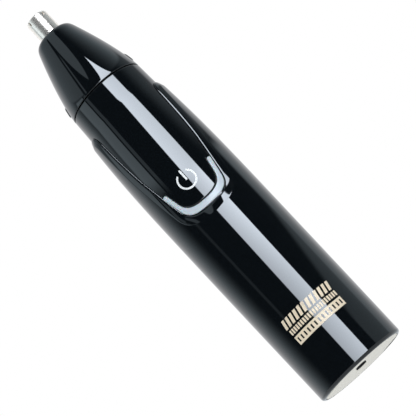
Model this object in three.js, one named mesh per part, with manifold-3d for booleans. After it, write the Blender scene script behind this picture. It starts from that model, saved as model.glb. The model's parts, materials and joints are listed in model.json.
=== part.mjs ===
// Battery nose hair trimmer: a slim standing barrel with a U-shaped window in its outer
// sleeve, a light ring and a rocking power tongue in that window, and a conical cutter head
// that pulls off upwards. Millimetres, +Z up, front (power tongue) towards -Y.
// The part stands on its end cap, and the origin is the middle of that cap's flat face.
import * as THREE from "three";
import { mergeVertices } from "three/addons/utils/BufferGeometryUtils.js";
import Module from "manifold-3d";

const wasm = await Module();
wasm.setup();

// ---------------------------------------------------------------- driving dimensions

// Outer sleeve
const SLEEVE_TOP = 103.6; // base to the tips of the sleeve's two arms
const FOOT_RADIUS = 15.0; // at the base
const BELLY_SWELL = 0.4; // how much wider the belly is than the foot
const BELLY_BELOW_TOP = 35.6; // the belly's height, measured down from the arms' tips
const ARM_TAPER = 1.15; // how much narrower the arms' tips are than the belly
const SLEEVE_WALL = 0.9;
const SLEEVE_LIP = 2.0; // height of the thicker foot that frames the end cap
const FOOT_FILLET = 1.0;

// Window in the sleeve, and what lies in its foot
const WINDOW_LENGTH = 41.65; // from the arms' tips down to the window's foot
const RING_FOOT_RISE = 0.4; // light ring's foot above the window's foot
const RING_INNER_RISE = 2.45; // light ring's inner edge above the window's foot
const RING_TOP_RISE = 11.7; // light ring's two ends above the window's foot
const RING_PROUD = 0.25; // how far the ring stands out of the barrel
const RING_DEPTH = 1.5;
const TONGUE_TOP_RISE = 22.6; // root of the power tongue above the window's foot
const TONGUE_TOP_HALF = 8.5; // half the tongue's width at its root
const TONGUE_WALL = 1.3;
const BUTTON_RISE = 10.35; // middle of the power symbol above the window's foot
const BUTTON_BOSS_RADIUS = 2.0;
const BUTTON_BOSS_LENGTH = 1.3;

// Core barrel
const BARREL_WALL = 1.5;
const COLLAR_HEIGHT = 8.2; // bare barrel between the arms' tips and the head
const COLLAR_TAPER = 0.3;
const NECK_EASE = 0.186; // more than the fit, between the neck's top and the head's inside
const NECK_HEIGHT = 6.0;
const NECK_BORE_STEP = 2.2; // neck's wall
const DECK_THICKNESS = 1.8; // top wall of the neck
const SHOULDER_THICKNESS = 1.2;

// Head
const HEAD_LENGTH = 25.4;
const NOSE_LENGTH = 3.2; // rounded front of the cone
const NOSE_RIM = 3.7; // from the cutter tube out to where the rounding starts
const HEAD_WALL = 1.4;
const HEAD_CURVE = 1.35; // 1 is a straight cone, more is a fuller one
const RIB_LENGTH = 3.3;
const RIB_WIDTH = 1.8;
const RIB_PROUD = 0.3;

// Cutter
const TUBE_RADIUS = 3.7;
const TUBE_WALL = 0.4;
const TUBE_EXPOSED = 8.0;
const TUBE_FLANGE = 1.4;
const TUBE_FLANGE_THICKNESS = 0.9;
const SLOT_COUNT = 4;
const SLOT_WIDTH = 0.6;
const SLOT_DEPTH = 1.7;
const CUTTER_SHAFT_RADIUS = 1.5;
const BLADE_WALL = 0.6;
const BLADE_NOTCH = 3.0;
const SPRING_WIRE_RADIUS = 0.25;
const SPRING_TURNS = 6;

// Drive
const MOTOR_SHAFT_RADIUS = 1.0;
const MOTOR_LENGTH = 26.0;
const MOTOR_CAN_WALL = 1.0;
const MOTOR_BOSS_HEIGHT = 1.0;
const BUSHING_WALL = 0.95;
const MAGNET_THICKNESS = 1.7;
const MOUNT_THICKNESS = 1.2;
const MOUNT_SCREW_RADIUS = 0.85;
const MOUNT_SCREW_SPREAD = 5.2; // each screw's distance from the axis
const COUPLER_RADIUS = 2.5;
const DRIVE_BLADE_THICKNESS = 1.0;
const DRIVE_DEPTH = 2.5; // how far the coupler's blade reaches past the neck

// Power
const BATTERY_RADIUS = 7.0;
const BATTERY_LENGTH = 49.0;
const CONTACT_THICKNESS = 0.4;
const BOARD_THICKNESS = 1.0;
const SWITCH_SIDE = 6.0;
const SWITCH_HEIGHT = 2.6;
const PLUNGER_RADIUS = 1.5;
const SOCKET_LENGTH = 8.94;
const SOCKET_WIDTH = 3.26;
const SOCKET_WALL = 0.3;
const SOCKET_OFFSET = 4.6; // socket's middle, towards the front
const SOCKET_RECESS = 0.15;
const CAP_THICKNESS = 1.7;
const CAP_PLUG_HEIGHT = 3.5;
const CHASSIS_WALL = 1.1;
const LEAD_RADIUS = 0.45;

// Clearances
const SLEEVE_FIT = 0.1; // sleeve on barrel
const SHELL_FIT = 0.25; // inner pieces in the barrel or the head
const EDGE_GAP = 0.3; // between outlines cut beside each other
const SEAM_GAP = 0.4; // head above the barrel's shoulder
const NECK_FIT = 0.3; // head's bore round the neck
const RUNNING_FIT = 0.15; // turning pieces
const BEARING_FIT = 0.05; // shaft in its bushings
const SEAT_GAP = 0.1; // faces that rest on each other

// Facets round a full turn; multiples of four keep turning pieces clear of each other
const SHELL_SIDES = 36;
const PART_SIDES = 24;
const SMALL_SIDES = 16;

// ---------------------------------------------------------------- derived heights and radii

const BELLY_HEIGHT = SLEEVE_TOP - BELLY_BELOW_TOP;
const WINDOW_FOOT = SLEEVE_TOP - WINDOW_LENGTH;
const SHOULDER_HEIGHT = SLEEVE_TOP + COLLAR_HEIGHT;
const SHOULDER_RADIUS = barrelRadius(SLEEVE_TOP) - COLLAR_TAPER;
const NECK_TOP = SHOULDER_HEIGHT + NECK_HEIGHT;
const DECK_UNDERSIDE = NECK_TOP - DECK_THICKNESS;
const UPPER_BORE = SHOULDER_RADIUS - BARREL_WALL;
const LOWER_BORE = barrelRadius(0) - BARREL_WALL;
const LEDGE = SHOULDER_HEIGHT - SHOULDER_THICKNESS;
const BARREL_FOOT = CAP_THICKNESS + 0.65;

const HEAD_FOOT = SHOULDER_HEIGHT + SEAM_GAP;
const HEAD_TOP = HEAD_FOOT + HEAD_LENGTH;
const NOSE_START = HEAD_TOP - NOSE_LENGTH;
const NOSE_RADIUS = TUBE_RADIUS + NOSE_RIM;
const NECK_RADIUS = headRadius(NECK_TOP) - HEAD_WALL - NECK_FIT - NECK_EASE;
const NECK_BORE = NECK_RADIUS - NECK_BORE_STEP;
const HEAD_BORE = NECK_RADIUS + NECK_FIT;
const TUBE_BORE = TUBE_RADIUS - TUBE_WALL;
const TUBE_TOP = HEAD_TOP + TUBE_EXPOSED;
const TUBE_FOOT = HEAD_TOP - 3.8;

const DRIVE_TOP = NECK_TOP + DRIVE_DEPTH;
const SOCKET_FOOT = NECK_TOP + 0.8;
const DRIVE_RADIUS = COUPLER_RADIUS + 0.9;
const INSERT_FOOT = NECK_TOP + 1.4;
const WEB_UNDERSIDE = DRIVE_TOP + 1.4;
const WEB_TOP = WEB_UNDERSIDE + 1.2;
const INSERT_TOP = TUBE_FOOT - SEAT_GAP;
const COLLAR_FOOT = INSERT_TOP - 2.4;

const MOUNT_TOP = LEDGE - EDGE_GAP;
const MOUNT_FOOT = MOUNT_TOP - MOUNT_THICKNESS;
const MOTOR_TOP = MOUNT_FOOT - SEAT_GAP;
const MOTOR_FOOT = MOTOR_TOP - MOTOR_LENGTH;
const MOTOR_RADIUS = UPPER_BORE - SHELL_FIT - 1.3;
const MOTOR_BORE = MOTOR_RADIUS - MOTOR_CAN_WALL;
const BUSHING_RADIUS = MOTOR_SHAFT_RADIUS + BEARING_FIT + BUSHING_WALL;
const MAGNET_BORE = MOTOR_BORE - RUNNING_FIT - MAGNET_THICKNESS;
const END_BELL_FOOT = MOTOR_FOOT - 1.9;
const BAY_TOP = END_BELL_FOOT - 0.7;

const CHASSIS_RADIUS = LOWER_BORE - SHELL_FIT;
const CHASSIS_BORE = CHASSIS_RADIUS - CHASSIS_WALL;
const CHARGE_BOARD_FOOT = CAP_THICKNESS + CAP_PLUG_HEIGHT + SEAT_GAP;
const CHARGE_BOARD_TOP = CHARGE_BOARD_FOOT + BOARD_THICKNESS;
const CHASSIS_FOOT = CHARGE_BOARD_TOP + 1.6;
const CHASSIS_TOP = BAY_TOP - (LOWER_BORE - UPPER_BORE) - EDGE_GAP;
const BATTERY_Y = CHASSIS_BORE - BATTERY_RADIUS - 0.4;
const BATTERY_FOOT = CHASSIS_FOOT + 3.4;
const BATTERY_TOP = BATTERY_FOOT + BATTERY_LENGTH;
const BOARD_BACK = BATTERY_Y - BATTERY_RADIUS - 1.6;
const BOARD_FRONT = BOARD_BACK - BOARD_THICKNESS;
const BOARD_FOOT = CHASSIS_FOOT + 0.6;
const BOARD_TOP = WINDOW_FOOT + 16;
const BUTTON_HEIGHT = WINDOW_FOOT + BUTTON_RISE;
const TONGUE_TOP = WINDOW_FOOT + TONGUE_TOP_RISE;
const RING_TOP = WINDOW_FOOT + RING_TOP_RISE;

// ---------------------------------------------------------------- outer forms

// The sleeve swells gently from its foot to its belly and draws in towards the arms.
function sleeveRadius(z) {
  if (z <= SLEEVE_TOP - BELLY_BELOW_TOP) {
    const below = 1 - z / (SLEEVE_TOP - BELLY_BELOW_TOP);
    return FOOT_RADIUS + BELLY_SWELL * (1 - below ** 1.4);
  }
  const above = 1 - (SLEEVE_TOP - z) / BELLY_BELOW_TOP;
  return FOOT_RADIUS + BELLY_SWELL - ARM_TAPER * above ** 2.4;
}

// The barrel follows the sleeve's inside, then tapers a little to the shoulder.
function barrelRadius(z) {
  const inSleeve = sleeveRadius(Math.min(z, SLEEVE_TOP)) - SLEEVE_WALL - SLEEVE_FIT;
  const above = Math.max(0, z - SLEEVE_TOP) / COLLAR_HEIGHT;
  return inSleeve - COLLAR_TAPER * above;
}

// The head draws in from the shoulder's radius to the start of its rounded nose.
function headRadius(z) {
  const share = Math.max(0, z - HEAD_FOOT) / (NOSE_START - HEAD_FOOT);
  return SHOULDER_RADIUS - (SHOULDER_RADIUS - NOSE_RADIUS) * share ** HEAD_CURVE;
}

function headBore(z) {
  return Math.min(HEAD_BORE, headRadius(z) - HEAD_WALL);
}

// ---------------------------------------------------------------- geometry helpers

// A list of evenly spaced values, both ends included.
function steps(from, to, count) {
  return Array.from({ length: count + 1 }, (_, i) => from + ((to - from) * i) / count);
}

// Turns a profile of [radius, height] points round the Z axis. A profile either starts and
// ends on the axis, or is a closed loop, whose first point is repeated here.
function turned(profile, sides) {
  const onAxis = profile[0][0] === 0;
  const loop = onAxis ? profile : [...profile, profile[0]];
  const area = profile.reduce((sum, [r, z], i) => {
    const [nextR, nextZ] = profile[(i + 1) % profile.length];
    return sum + r * nextZ - nextR * z;
  }, 0);
  const ordered = area > 0 ? loop : [...loop].reverse();
  const points = ordered.map(([r, z]) => new THREE.Vector2(r, z));
  return new THREE.LatheGeometry(points, sides).rotateX(Math.PI / 2);
}

// A plain ring or tube round the Z axis.
function tube(inner, outer, from, to, sides = PART_SIDES) {
  return turned([[inner, from], [outer, from], [outer, to], [inner, to]], sides);
}

// A plain disc or rod on the Z axis.
function rod(radius, from, to, sides = PART_SIDES) {
  return turned([[0, from], [radius, from], [radius, to], [0, to]], sides);
}

// A box given by its low and high corners.
function block(low, high) {
  const size = high.map((value, i) => value - low[i]);
  const middle = high.map((value, i) => (value + low[i]) / 2);
  return new THREE.BoxGeometry(...size).translate(...middle);
}

// A rod along Y, from one y to another, at the given x and z.
function crossRod(radius, from, to, x, z) {
  return rod(radius, from, to, SMALL_SIDES).rotateX(-Math.PI / 2).translate(x, 0, z);
}

// Extrudes an outline drawn in the horizontal plane between two heights.
function upright(shape, from, to, curveSegments = 8) {
  const settings = { depth: to - from, bevelEnabled: false, curveSegments };
  return new THREE.ExtrudeGeometry(shape, settings).translate(0, 0, from);
}

// Extrudes an outline drawn in the front view (x, z) from the middle plane out past the front.
function frontPrism(shape) {
  const settings = { depth: FOOT_RADIUS + 5, bevelEnabled: false };
  return new THREE.ExtrudeGeometry(shape, settings).rotateX(Math.PI / 2);
}

// Mirrors a right half outline, given from its foot up, into a closed front-view shape.
function mirrored(half) {
  const left = half.filter((point) => point.x > 0).map((point) => [-point.x, point.y]);
  const outline = [...half.map((point) => [point.x, point.y]), ...left.reverse()];
  return new THREE.Shape(outline.map(([x, z]) => new THREE.Vector2(x, z)));
}

// Moves a right half outline sideways by a distance; positive widens the shape.
function offsetHalf(half, distance) {
  return half.map((point, i) => {
    const before = half[Math.max(0, i - 1)];
    const after = half[Math.min(half.length - 1, i + 1)];
    const along = after.clone().sub(before).normalize();
    const outward = new THREE.Vector2(along.y, -along.x).multiplyScalar(distance);
    return i === 0 ? new THREE.Vector2(0, point.y - distance) : point.clone().add(outward);
  });
}

// A smooth half outline through cubic stretches; each row ends one stretch, and its first
// two points are that stretch's handles. Heights count from the window's foot.
function halfOutline(start, stretches, stepsEach) {
  const at = ([x, rise]) => new THREE.Vector2(x, WINDOW_FOOT + rise);
  const points = [at(start)];
  for (const [handleA, handleB, end] of stretches) {
    const from = points[points.length - 1];
    const curve = new THREE.CubicBezierCurve(from, at(handleA), at(handleB), at(end));
    points.push(...curve.getPoints(stepsEach).slice(1));
  }
  return points;
}

// A round bar of small section along a smooth path through points.
function lead(points) {
  const path = new THREE.CatmullRomCurve3(points.map((point) => new THREE.Vector3(...point)));
  return swept(path, LEAD_RADIUS, 9, 6);
}

function swept(path, radius, stepCount, sides) {
  const section = new THREE.Shape(
    steps(0, 2 * Math.PI, sides)
      .slice(0, sides)
      .map((angle) => new THREE.Vector2(radius * Math.cos(angle), radius * Math.sin(angle))),
  );
  return new THREE.ExtrudeGeometry(section, { steps: stepCount, extrudePath: path, bevelEnabled: false });
}

// ---------------------------------------------------------------- joining and cutting

function solidOf(geometry) {
  const bare = geometry.clone();
  bare.deleteAttribute("normal");
  bare.deleteAttribute("uv");
  const merged = mergeVertices(bare, 1e-4);
  return new wasm.Manifold(
    new wasm.Mesh({
      numProp: 3,
      vertProperties: new Float32Array(merged.attributes.position.array),
      triVerts: new Uint32Array(merged.index.array),
    }),
  );
}

function geometryOf(solid) {
  const mesh = solid.getMesh();
  const geometry = new THREE.BufferGeometry();
  geometry.setAttribute("position", new THREE.BufferAttribute(mesh.vertProperties, 3));
  geometry.setIndex(new THREE.BufferAttribute(mesh.triVerts, 1));
  return geometry;
}

function joined(...geometries) {
  return geometryOf(geometries.map(solidOf).reduce((sum, next) => sum.add(next)));
}

function cut(geometry, ...tools) {
  return geometryOf(tools.map(solidOf).reduce((rest, tool) => rest.subtract(tool), solidOf(geometry)));
}

function common(geometry, region) {
  return geometryOf(solidOf(geometry).intersect(solidOf(region)));
}

// ---------------------------------------------------------------- materials

const material = (color, roughness, metalness = 0) =>
  new THREE.MeshStandardMaterial({ color, roughness, metalness });

const glossBlack = () => material(0x0b0c0e, 0.08);
const steel = () => material(0xc9c6c1, 0.2, 1);
const silverSatin = () => material(0xc8c3bb, 0.35, 0.6);
const iceLight = () => material(0xcfdfe6, 0.3);
const blackPlastic = () => material(0x1c1c1e, 0.5);
const whitePlastic = () => material(0xe6e4df, 0.45);
const rubber = () => material(0x18181a, 0.85);
const brass = () => material(0xc9a34a, 0.35, 1);
const copper = () => material(0xb8733c, 0.4, 1);
const ferrite = () => material(0x3a3a3d, 0.7);
const greenBoard = () => material(0x1f5f3a, 0.5);
const greenWrap = () => material(0x3f9a5a, 0.4);
const redLead = () => material(0xb3261e, 0.5);
const blackLead = () => material(0x202022, 0.5);

const part = new THREE.Group();

function add(group, name, geometry, paint) {
  const mesh = new THREE.Mesh(geometry, paint);
  mesh.name = name;
  group.add(mesh);
  return mesh;
}

const bodyGroup = (name) => {
  const group = new THREE.Group();
  group.name = name;
  part.add(group);
  return group;
};

const barrelBody = bodyGroup("barrel_body");
const buttonBody = bodyGroup("button_body");
const plungerBody = bodyGroup("plunger_body");
const rotorBody = bodyGroup("rotor_body");
const headBody = bodyGroup("head_body");
const cutterBody = bodyGroup("cutter_body");

// ---------------------------------------------------------------- window outlines

// The window's right edge: a soft corner at the foot, a long arm, and a rounded tip that
// runs out over the sleeve's rim.
const windowHalf = halfOutline(
  [0, 0],
  [
    [[5.0, 0], [7.7, 0.9], [8.6, 4.8]],
    [[9.3, 8.1], [10.1, 13.6], [11.05, 19.6]],
    [[11.7, 25.1], [12.0, 30.6], [12.2, WINDOW_LENGTH - 5.2]],
    [[12.35, WINDOW_LENGTH - 1.6], [12.75, WINDOW_LENGTH + 0.1], [14.0, WINDOW_LENGTH + 0.1]],
  ],
  4,
);
const ringOuterHalf = halfOutline(
  [0, RING_FOOT_RISE],
  [
    [[4.6, RING_FOOT_RISE], [7.0, RING_FOOT_RISE + 0.8], [8.0, 4.6]],
    [[8.4, 6.6], [9.05, 9.6], [9.45, RING_TOP_RISE]],
  ],
  5,
);
const ringInnerHalf = halfOutline(
  [0, RING_INNER_RISE],
  [
    [[3.7, RING_INNER_RISE], [6.1, RING_INNER_RISE + 0.9], [7.05, 6.4]],
    [[7.35, 7.8], [7.8, 10.1], [8.1, RING_TOP_RISE]],
  ],
  5,
);
const tongueHalf = [
  ...offsetHalf(ringInnerHalf, -EDGE_GAP),
  new THREE.Vector2(TONGUE_TOP_HALF, TONGUE_TOP),
];

// A shell of the barrel's outside, from a depth below its surface to a height above it.
function barrelShell(depth, proud, from, to) {
  const heights = steps(from, to, 3);
  const outer = heights.map((z) => [barrelRadius(z) + proud, z]);
  const inner = heights.map((z) => [barrelRadius(z) - depth, z]).reverse();
  return turned([...outer, ...inner], SHELL_SIDES);
}

// ---------------------------------------------------------------- barrel body: housings

function outerSleeve() {
  const fillet = steps(0, Math.PI / 2, 3).map((angle) => [
    FOOT_RADIUS - FOOT_FILLET * (1 - Math.sin(angle)),
    FOOT_FILLET * (1 - Math.cos(angle)),
  ]);
  const flank = [
    ...steps(FOOT_FILLET + 20, BELLY_HEIGHT, 2),
    ...steps(BELLY_HEIGHT, SLEEVE_TOP - 0.3, 5).slice(1),
  ].map((z) => [sleeveRadius(z), z]);
  const rim = [
    [sleeveRadius(SLEEVE_TOP) - 0.3, SLEEVE_TOP],
    [sleeveRadius(SLEEVE_TOP) - SLEEVE_WALL, SLEEVE_TOP],
  ];
  const inside = [
    ...steps(SLEEVE_TOP, BELLY_HEIGHT, 5).slice(1),
    ...steps(BELLY_HEIGHT, SLEEVE_LIP + 0.3, 3).slice(1),
  ].map((z) => [sleeveRadius(z) - SLEEVE_WALL, z]);
  const lip = [
    [FOOT_RADIUS - FOOT_FILLET - 0.1, SLEEVE_LIP],
    [FOOT_RADIUS - FOOT_FILLET - 0.1, 0],
  ];
  const shell = turned([...fillet, ...flank, ...rim, ...inside, ...lip], SHELL_SIDES);
  const overTips = [SLEEVE_TOP + 0.1, SLEEVE_TOP + 3].map((z) => new THREE.Vector2(FOOT_RADIUS + 2, z));
  return cut(shell, frontPrism(mirrored([...windowHalf, ...overTips])));
}

function coreBarrel() {
  const outside = [
    ...steps(BARREL_FOOT, BELLY_HEIGHT, 3),
    ...steps(BELLY_HEIGHT, SLEEVE_TOP, 5).slice(1),
    SHOULDER_HEIGHT - 0.3,
  ].map((z) => [barrelRadius(z), z]);
  const groove = gasketGroove();
  const profile = [
    ...outside,
    [SHOULDER_RADIUS - 0.3, SHOULDER_HEIGHT],
    [NECK_RADIUS, SHOULDER_HEIGHT],
    [NECK_RADIUS, groove.foot],
    [groove.radius, groove.foot],
    [groove.radius, groove.top],
    [NECK_RADIUS, groove.top],
    [NECK_RADIUS, NECK_TOP],
    [COUPLER_RADIUS + 0.5, NECK_TOP],
    [COUPLER_RADIUS + 0.5, NECK_TOP - 0.6],
    [COUPLER_RADIUS + 1.9, NECK_TOP - 0.6],
    [COUPLER_RADIUS + 1.9, DECK_UNDERSIDE],
    [NECK_BORE, DECK_UNDERSIDE],
    [NECK_BORE, LEDGE],
    [UPPER_BORE, LEDGE],
    [UPPER_BORE, BAY_TOP],
    [LOWER_BORE, BAY_TOP - (LOWER_BORE - UPPER_BORE)],
    [LOWER_BORE, BARREL_FOOT],
  ];
  const ringHole = offsetHalf(ringOuterHalf, EDGE_GAP);
  const ringEnd = ringHole[ringHole.length - 1];
  ringHole.push(new THREE.Vector2(ringEnd.x, RING_TOP + EDGE_GAP));
  const tongueHole = offsetHalf(tongueHalf, EDGE_GAP);
  const tongueEnd = tongueHole[tongueHole.length - 1];
  tongueHole.push(new THREE.Vector2(tongueEnd.x, TONGUE_TOP + EDGE_GAP));
  return cut(
    turned(profile, SHELL_SIDES),
    frontPrism(mirrored(ringHole)),
    frontPrism(mirrored(tongueHole)),
  );
}

function gasketGroove() {
  const middle = SHOULDER_HEIGHT + NECK_HEIGHT / 2 + 0.8;
  return { radius: NECK_RADIUS - 0.75, foot: middle - 0.7, top: middle + 0.7, middle };
}

function lightRing() {
  const shell = barrelShell(RING_DEPTH, RING_PROUD, WINDOW_FOOT - 1, RING_TOP + 2);
  const above = new THREE.Vector2(ringInnerHalf[ringInnerHalf.length - 1].x + 0.3, RING_TOP + 3);
  const band = cut(
    frontPrism(mirrored(ringOuterHalf)),
    frontPrism(mirrored([...ringInnerHalf, above])),
  );
  return common(shell, band);
}

add(barrelBody, "outer_sleeve", outerSleeve(), glossBlack());
add(barrelBody, "core_barrel", coreBarrel(), glossBlack());
add(barrelBody, "light_ring", lightRing(), iceLight());

// ---------------------------------------------------------------- button body

function powerTongue() {
  const shell = barrelShell(TONGUE_WALL, 0, WINDOW_FOOT, TONGUE_TOP + 2);
  const tongue = common(shell, frontPrism(mirrored(tongueHalf)));
  const inside = barrelRadius(BUTTON_HEIGHT) - TONGUE_WALL;
  const boss = crossRod(
    BUTTON_BOSS_RADIUS,
    -inside - 0.6,
    -inside + BUTTON_BOSS_LENGTH,
    0,
    BUTTON_HEIGHT,
  );
  return joined(tongue, boss);
}

const bossEnd = -(barrelRadius(BUTTON_HEIGHT) - TONGUE_WALL) + BUTTON_BOSS_LENGTH;
const switchFront = BOARD_FRONT - SEAT_GAP - SWITCH_HEIGHT;

add(buttonBody, "power_tongue", powerTongue(), glossBlack());
add(
  plungerBody,
  "switch_plunger",
  crossRod(PLUNGER_RADIUS, bossEnd + EDGE_GAP, switchFront - EDGE_GAP, 0, BUTTON_HEIGHT),
  blackPlastic(),
);

// ---------------------------------------------------------------- barrel body: electronics

function circuitBoard() {
  const half = Math.sqrt(LOWER_BORE ** 2 - BOARD_FRONT ** 2) - 1.2;
  const plate = block([-half, BOARD_FRONT, BOARD_FOOT], [half, BOARD_BACK, BOARD_TOP]);
  const hole = crossRod(1.1, BOARD_FRONT - 1, BOARD_BACK + 1, half - 2.2, BOARD_FOOT + 6);
  return cut(plate, hole);
}

// A flat spring strip across one end of the battery, bent forward to its solder tab.
function batteryContact(from, to) {
  const plate = block([-3.5, BATTERY_Y - 4, from], [3.5, BATTERY_Y + 4, to]);
  const tab = block([-1.5, BATTERY_Y - BATTERY_RADIUS + 0.4, from], [1.5, BATTERY_Y - 3.5, to]);
  return joined(plate, tab);
}

function batteryCell() {
  return turned(
    [
      [0, BATTERY_FOOT],
      [BATTERY_RADIUS - 0.4, BATTERY_FOOT],
      [BATTERY_RADIUS, BATTERY_FOOT + 0.4],
      [BATTERY_RADIUS, BATTERY_TOP - 1.6],
      [BATTERY_RADIUS - 0.4, BATTERY_TOP - 1.2],
      [2.7, BATTERY_TOP - 1.2],
      [2.7, BATTERY_TOP],
      [0, BATTERY_TOP],
    ],
    PART_SIDES,
  ).translate(0, BATTERY_Y, 0);
}

// A half-round tray with three cross ribs that hold the battery and back the board.
function chassisTray() {
  const reach = CHASSIS_RADIUS + 1;
  const back = block([-reach, -0.5, CHASSIS_FOOT - 1], [reach, reach, CHASSIS_TOP + 1]);
  const wall = common(tube(CHASSIS_BORE, CHASSIS_RADIUS, CHASSIS_FOOT, CHASSIS_TOP), back);
  const ribThickness = 1.2;
  const rib = (from, front) => {
    const region = block([-reach, front, from - 1], [reach, reach, from + ribThickness + 1]);
    return common(rod(CHASSIS_BORE + 0.3, from, from + ribThickness), region);
  };
  const boardSide = BOARD_BACK + SEAT_GAP;
  const leadRoom = 4.25; // between the board and the top rib, where the motor's leads pass
  const tray = joined(
    wall,
    rib(CHASSIS_FOOT, boardSide),
    rib(BATTERY_TOP + 1.6, boardSide),
    rib(CHASSIS_TOP - ribThickness, boardSide + leadRoom),
  );
  const leadHalf = 2.4;
  const leadSlot = block(
    [-leadHalf, boardSide - 1, BATTERY_TOP],
    [leadHalf, boardSide + 3, CHASSIS_TOP],
  );
  const contactSlot = block(
    [-leadHalf, boardSide - 1, CHASSIS_FOOT - 1],
    [leadHalf, boardSide + 3, CHASSIS_FOOT + 2],
  );
  return cut(tray, leadSlot, contactSlot);
}

function stadium(length, width, y) {
  const straight = (length - width) / 2;
  const shape = new THREE.Shape();
  shape.absarc(0, y + straight, width / 2, 0, Math.PI, false);
  shape.absarc(0, y - straight, width / 2, Math.PI, 2 * Math.PI, false);
  return shape;
}

function socketShell() {
  const shape = stadium(SOCKET_LENGTH, SOCKET_WIDTH, -SOCKET_OFFSET);
  const opening = stadium(
    SOCKET_LENGTH - 2 * SOCKET_WALL,
    SOCKET_WIDTH - 2 * SOCKET_WALL,
    -SOCKET_OFFSET,
  );
  shape.holes.push(opening);
  return upright(shape, SOCKET_RECESS, CHARGE_BOARD_FOOT - SEAT_GAP);
}

function socketTongue() {
  const top = CHARGE_BOARD_FOOT - SEAT_GAP;
  const middle = -SOCKET_OFFSET;
  const base = block([-1.1, middle - 3.6, top - 1.2], [1.1, middle + 3.6, top]);
  const blade = block([-0.35, middle - 3.35, SOCKET_RECESS + 0.8], [0.35, middle + 3.35, top - 1]);
  return joined(base, blade);
}

function endCap() {
  const radius = FOOT_RADIUS - FOOT_FILLET - 0.1 - 0.15;
  const plug = LOWER_BORE - SHELL_FIT;
  const plugBore = plug - 1.1;
  const disc = turned(
    [
      [0, 0],
      [radius - 0.2, 0],
      [radius, 0.2],
      [radius, CAP_THICKNESS],
      [plug, CAP_THICKNESS],
      [plug, CAP_THICKNESS + CAP_PLUG_HEIGHT],
      [plugBore, CAP_THICKNESS + CAP_PLUG_HEIGHT],
      [plugBore, CAP_THICKNESS],
      [0, CAP_THICKNESS],
    ],
    SHELL_SIDES,
  );
  const port = stadium(SOCKET_LENGTH + 0.4, SOCKET_WIDTH + 0.4, -SOCKET_OFFSET);
  return cut(disc, upright(port, -1, CAP_THICKNESS + 1));
}

add(barrelBody, "chassis_tray", chassisTray(), blackPlastic());
add(barrelBody, "circuit_board", circuitBoard(), greenBoard());
add(
  barrelBody,
  "tact_switch",
  block(
    [-SWITCH_SIDE / 2, switchFront, BUTTON_HEIGHT - SWITCH_SIDE / 2],
    [SWITCH_SIDE / 2, BOARD_FRONT - SEAT_GAP, BUTTON_HEIGHT + SWITCH_SIDE / 2],
  ),
  blackPlastic(),
);
for (const [index, side] of [-1, 1].entries()) {
  const x = side * 6;
  add(
    barrelBody,
    "ring_led_" + (index + 1),
    block(
      [x - 0.8, BOARD_FRONT - SEAT_GAP - 0.9, WINDOW_FOOT + 3.4],
      [x + 0.8, BOARD_FRONT - SEAT_GAP, WINDOW_FOOT + 6.6],
    ),
    whitePlastic(),
  );
}
add(barrelBody, "battery_cell", batteryCell(), greenWrap());
add(
  barrelBody,
  "battery_contact_top",
  batteryContact(BATTERY_TOP + SEAT_GAP, BATTERY_TOP + SEAT_GAP + CONTACT_THICKNESS),
  brass(),
);
add(
  barrelBody,
  "battery_contact_foot",
  batteryContact(BATTERY_FOOT - SEAT_GAP - CONTACT_THICKNESS, BATTERY_FOOT - SEAT_GAP),
  brass(),
);
add(
  barrelBody,
  "charge_board",
  rod(LOWER_BORE - SHELL_FIT - 0.3, CHARGE_BOARD_FOOT, CHARGE_BOARD_TOP),
  greenBoard(),
);
add(barrelBody, "socket_shell", socketShell(), steel());
add(barrelBody, "socket_tongue", socketTongue(), blackPlastic());
add(barrelBody, "end_cap", endCap(), silverSatin());
add(
  barrelBody,
  "end_cap_gasket",
  tube(
    LOWER_BORE - SHELL_FIT + SEAT_GAP,
    FOOT_RADIUS - FOOT_FILLET - 0.4,
    CAP_THICKNESS + SEAT_GAP,
    BARREL_FOOT - SEAT_GAP,
    SHELL_SIDES,
  ),
  rubber(),
);

// ---------------------------------------------------------------- barrel body: motor

function motorCan() {
  const boss = BUSHING_RADIUS + SEAT_GAP + 0.9;
  const shell = turned(
    [
      [MOTOR_BORE, MOTOR_FOOT],
      [MOTOR_RADIUS, MOTOR_FOOT],
      [MOTOR_RADIUS, MOTOR_TOP - 0.5],
      [MOTOR_RADIUS - 0.5, MOTOR_TOP],
      [boss, MOTOR_TOP],
      [boss, MOTOR_TOP + MOTOR_BOSS_HEIGHT],
      [BUSHING_RADIUS + SEAT_GAP, MOTOR_TOP + MOTOR_BOSS_HEIGHT],
      [BUSHING_RADIUS + SEAT_GAP, MOTOR_TOP - 1.2],
      [MOTOR_BORE, MOTOR_TOP - 1.2],
    ],
    PART_SIDES,
  );
  const holes = [-1, 1].map((side) =>
    rod(MOUNT_SCREW_RADIUS + 0.15, MOTOR_TOP - 3, MOTOR_TOP + 1, SMALL_SIDES).translate(
      side * MOUNT_SCREW_SPREAD,
      0,
      0,
    ),
  );
  return cut(shell, ...holes);
}

function motorEndBell() {
  const bore = BUSHING_RADIUS + SEAT_GAP;
  return turned(
    [
      [bore, END_BELL_FOOT],
      [MOTOR_RADIUS, END_BELL_FOOT],
      [MOTOR_RADIUS, MOTOR_FOOT - SEAT_GAP],
      [MOTOR_BORE - SEAT_GAP, MOTOR_FOOT - SEAT_GAP],
      [MOTOR_BORE - SEAT_GAP, MOTOR_FOOT + 1.4],
      [bore, MOTOR_FOOT + 1.4],
    ],
    PART_SIDES,
  );
}

function motorMount() {
  const hole = BUSHING_RADIUS + SEAT_GAP + 0.9 + EDGE_GAP;
  const plate = tube(hole, UPPER_BORE - SHELL_FIT, MOUNT_FOOT, MOUNT_TOP);
  const holes = [-1, 1].map((side) =>
    rod(MOUNT_SCREW_RADIUS + 0.25, MOUNT_FOOT - 1, MOUNT_TOP + 1, SMALL_SIDES).translate(
      side * MOUNT_SCREW_SPREAD,
      0,
      0,
    ),
  );
  return cut(plate, ...holes);
}

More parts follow.
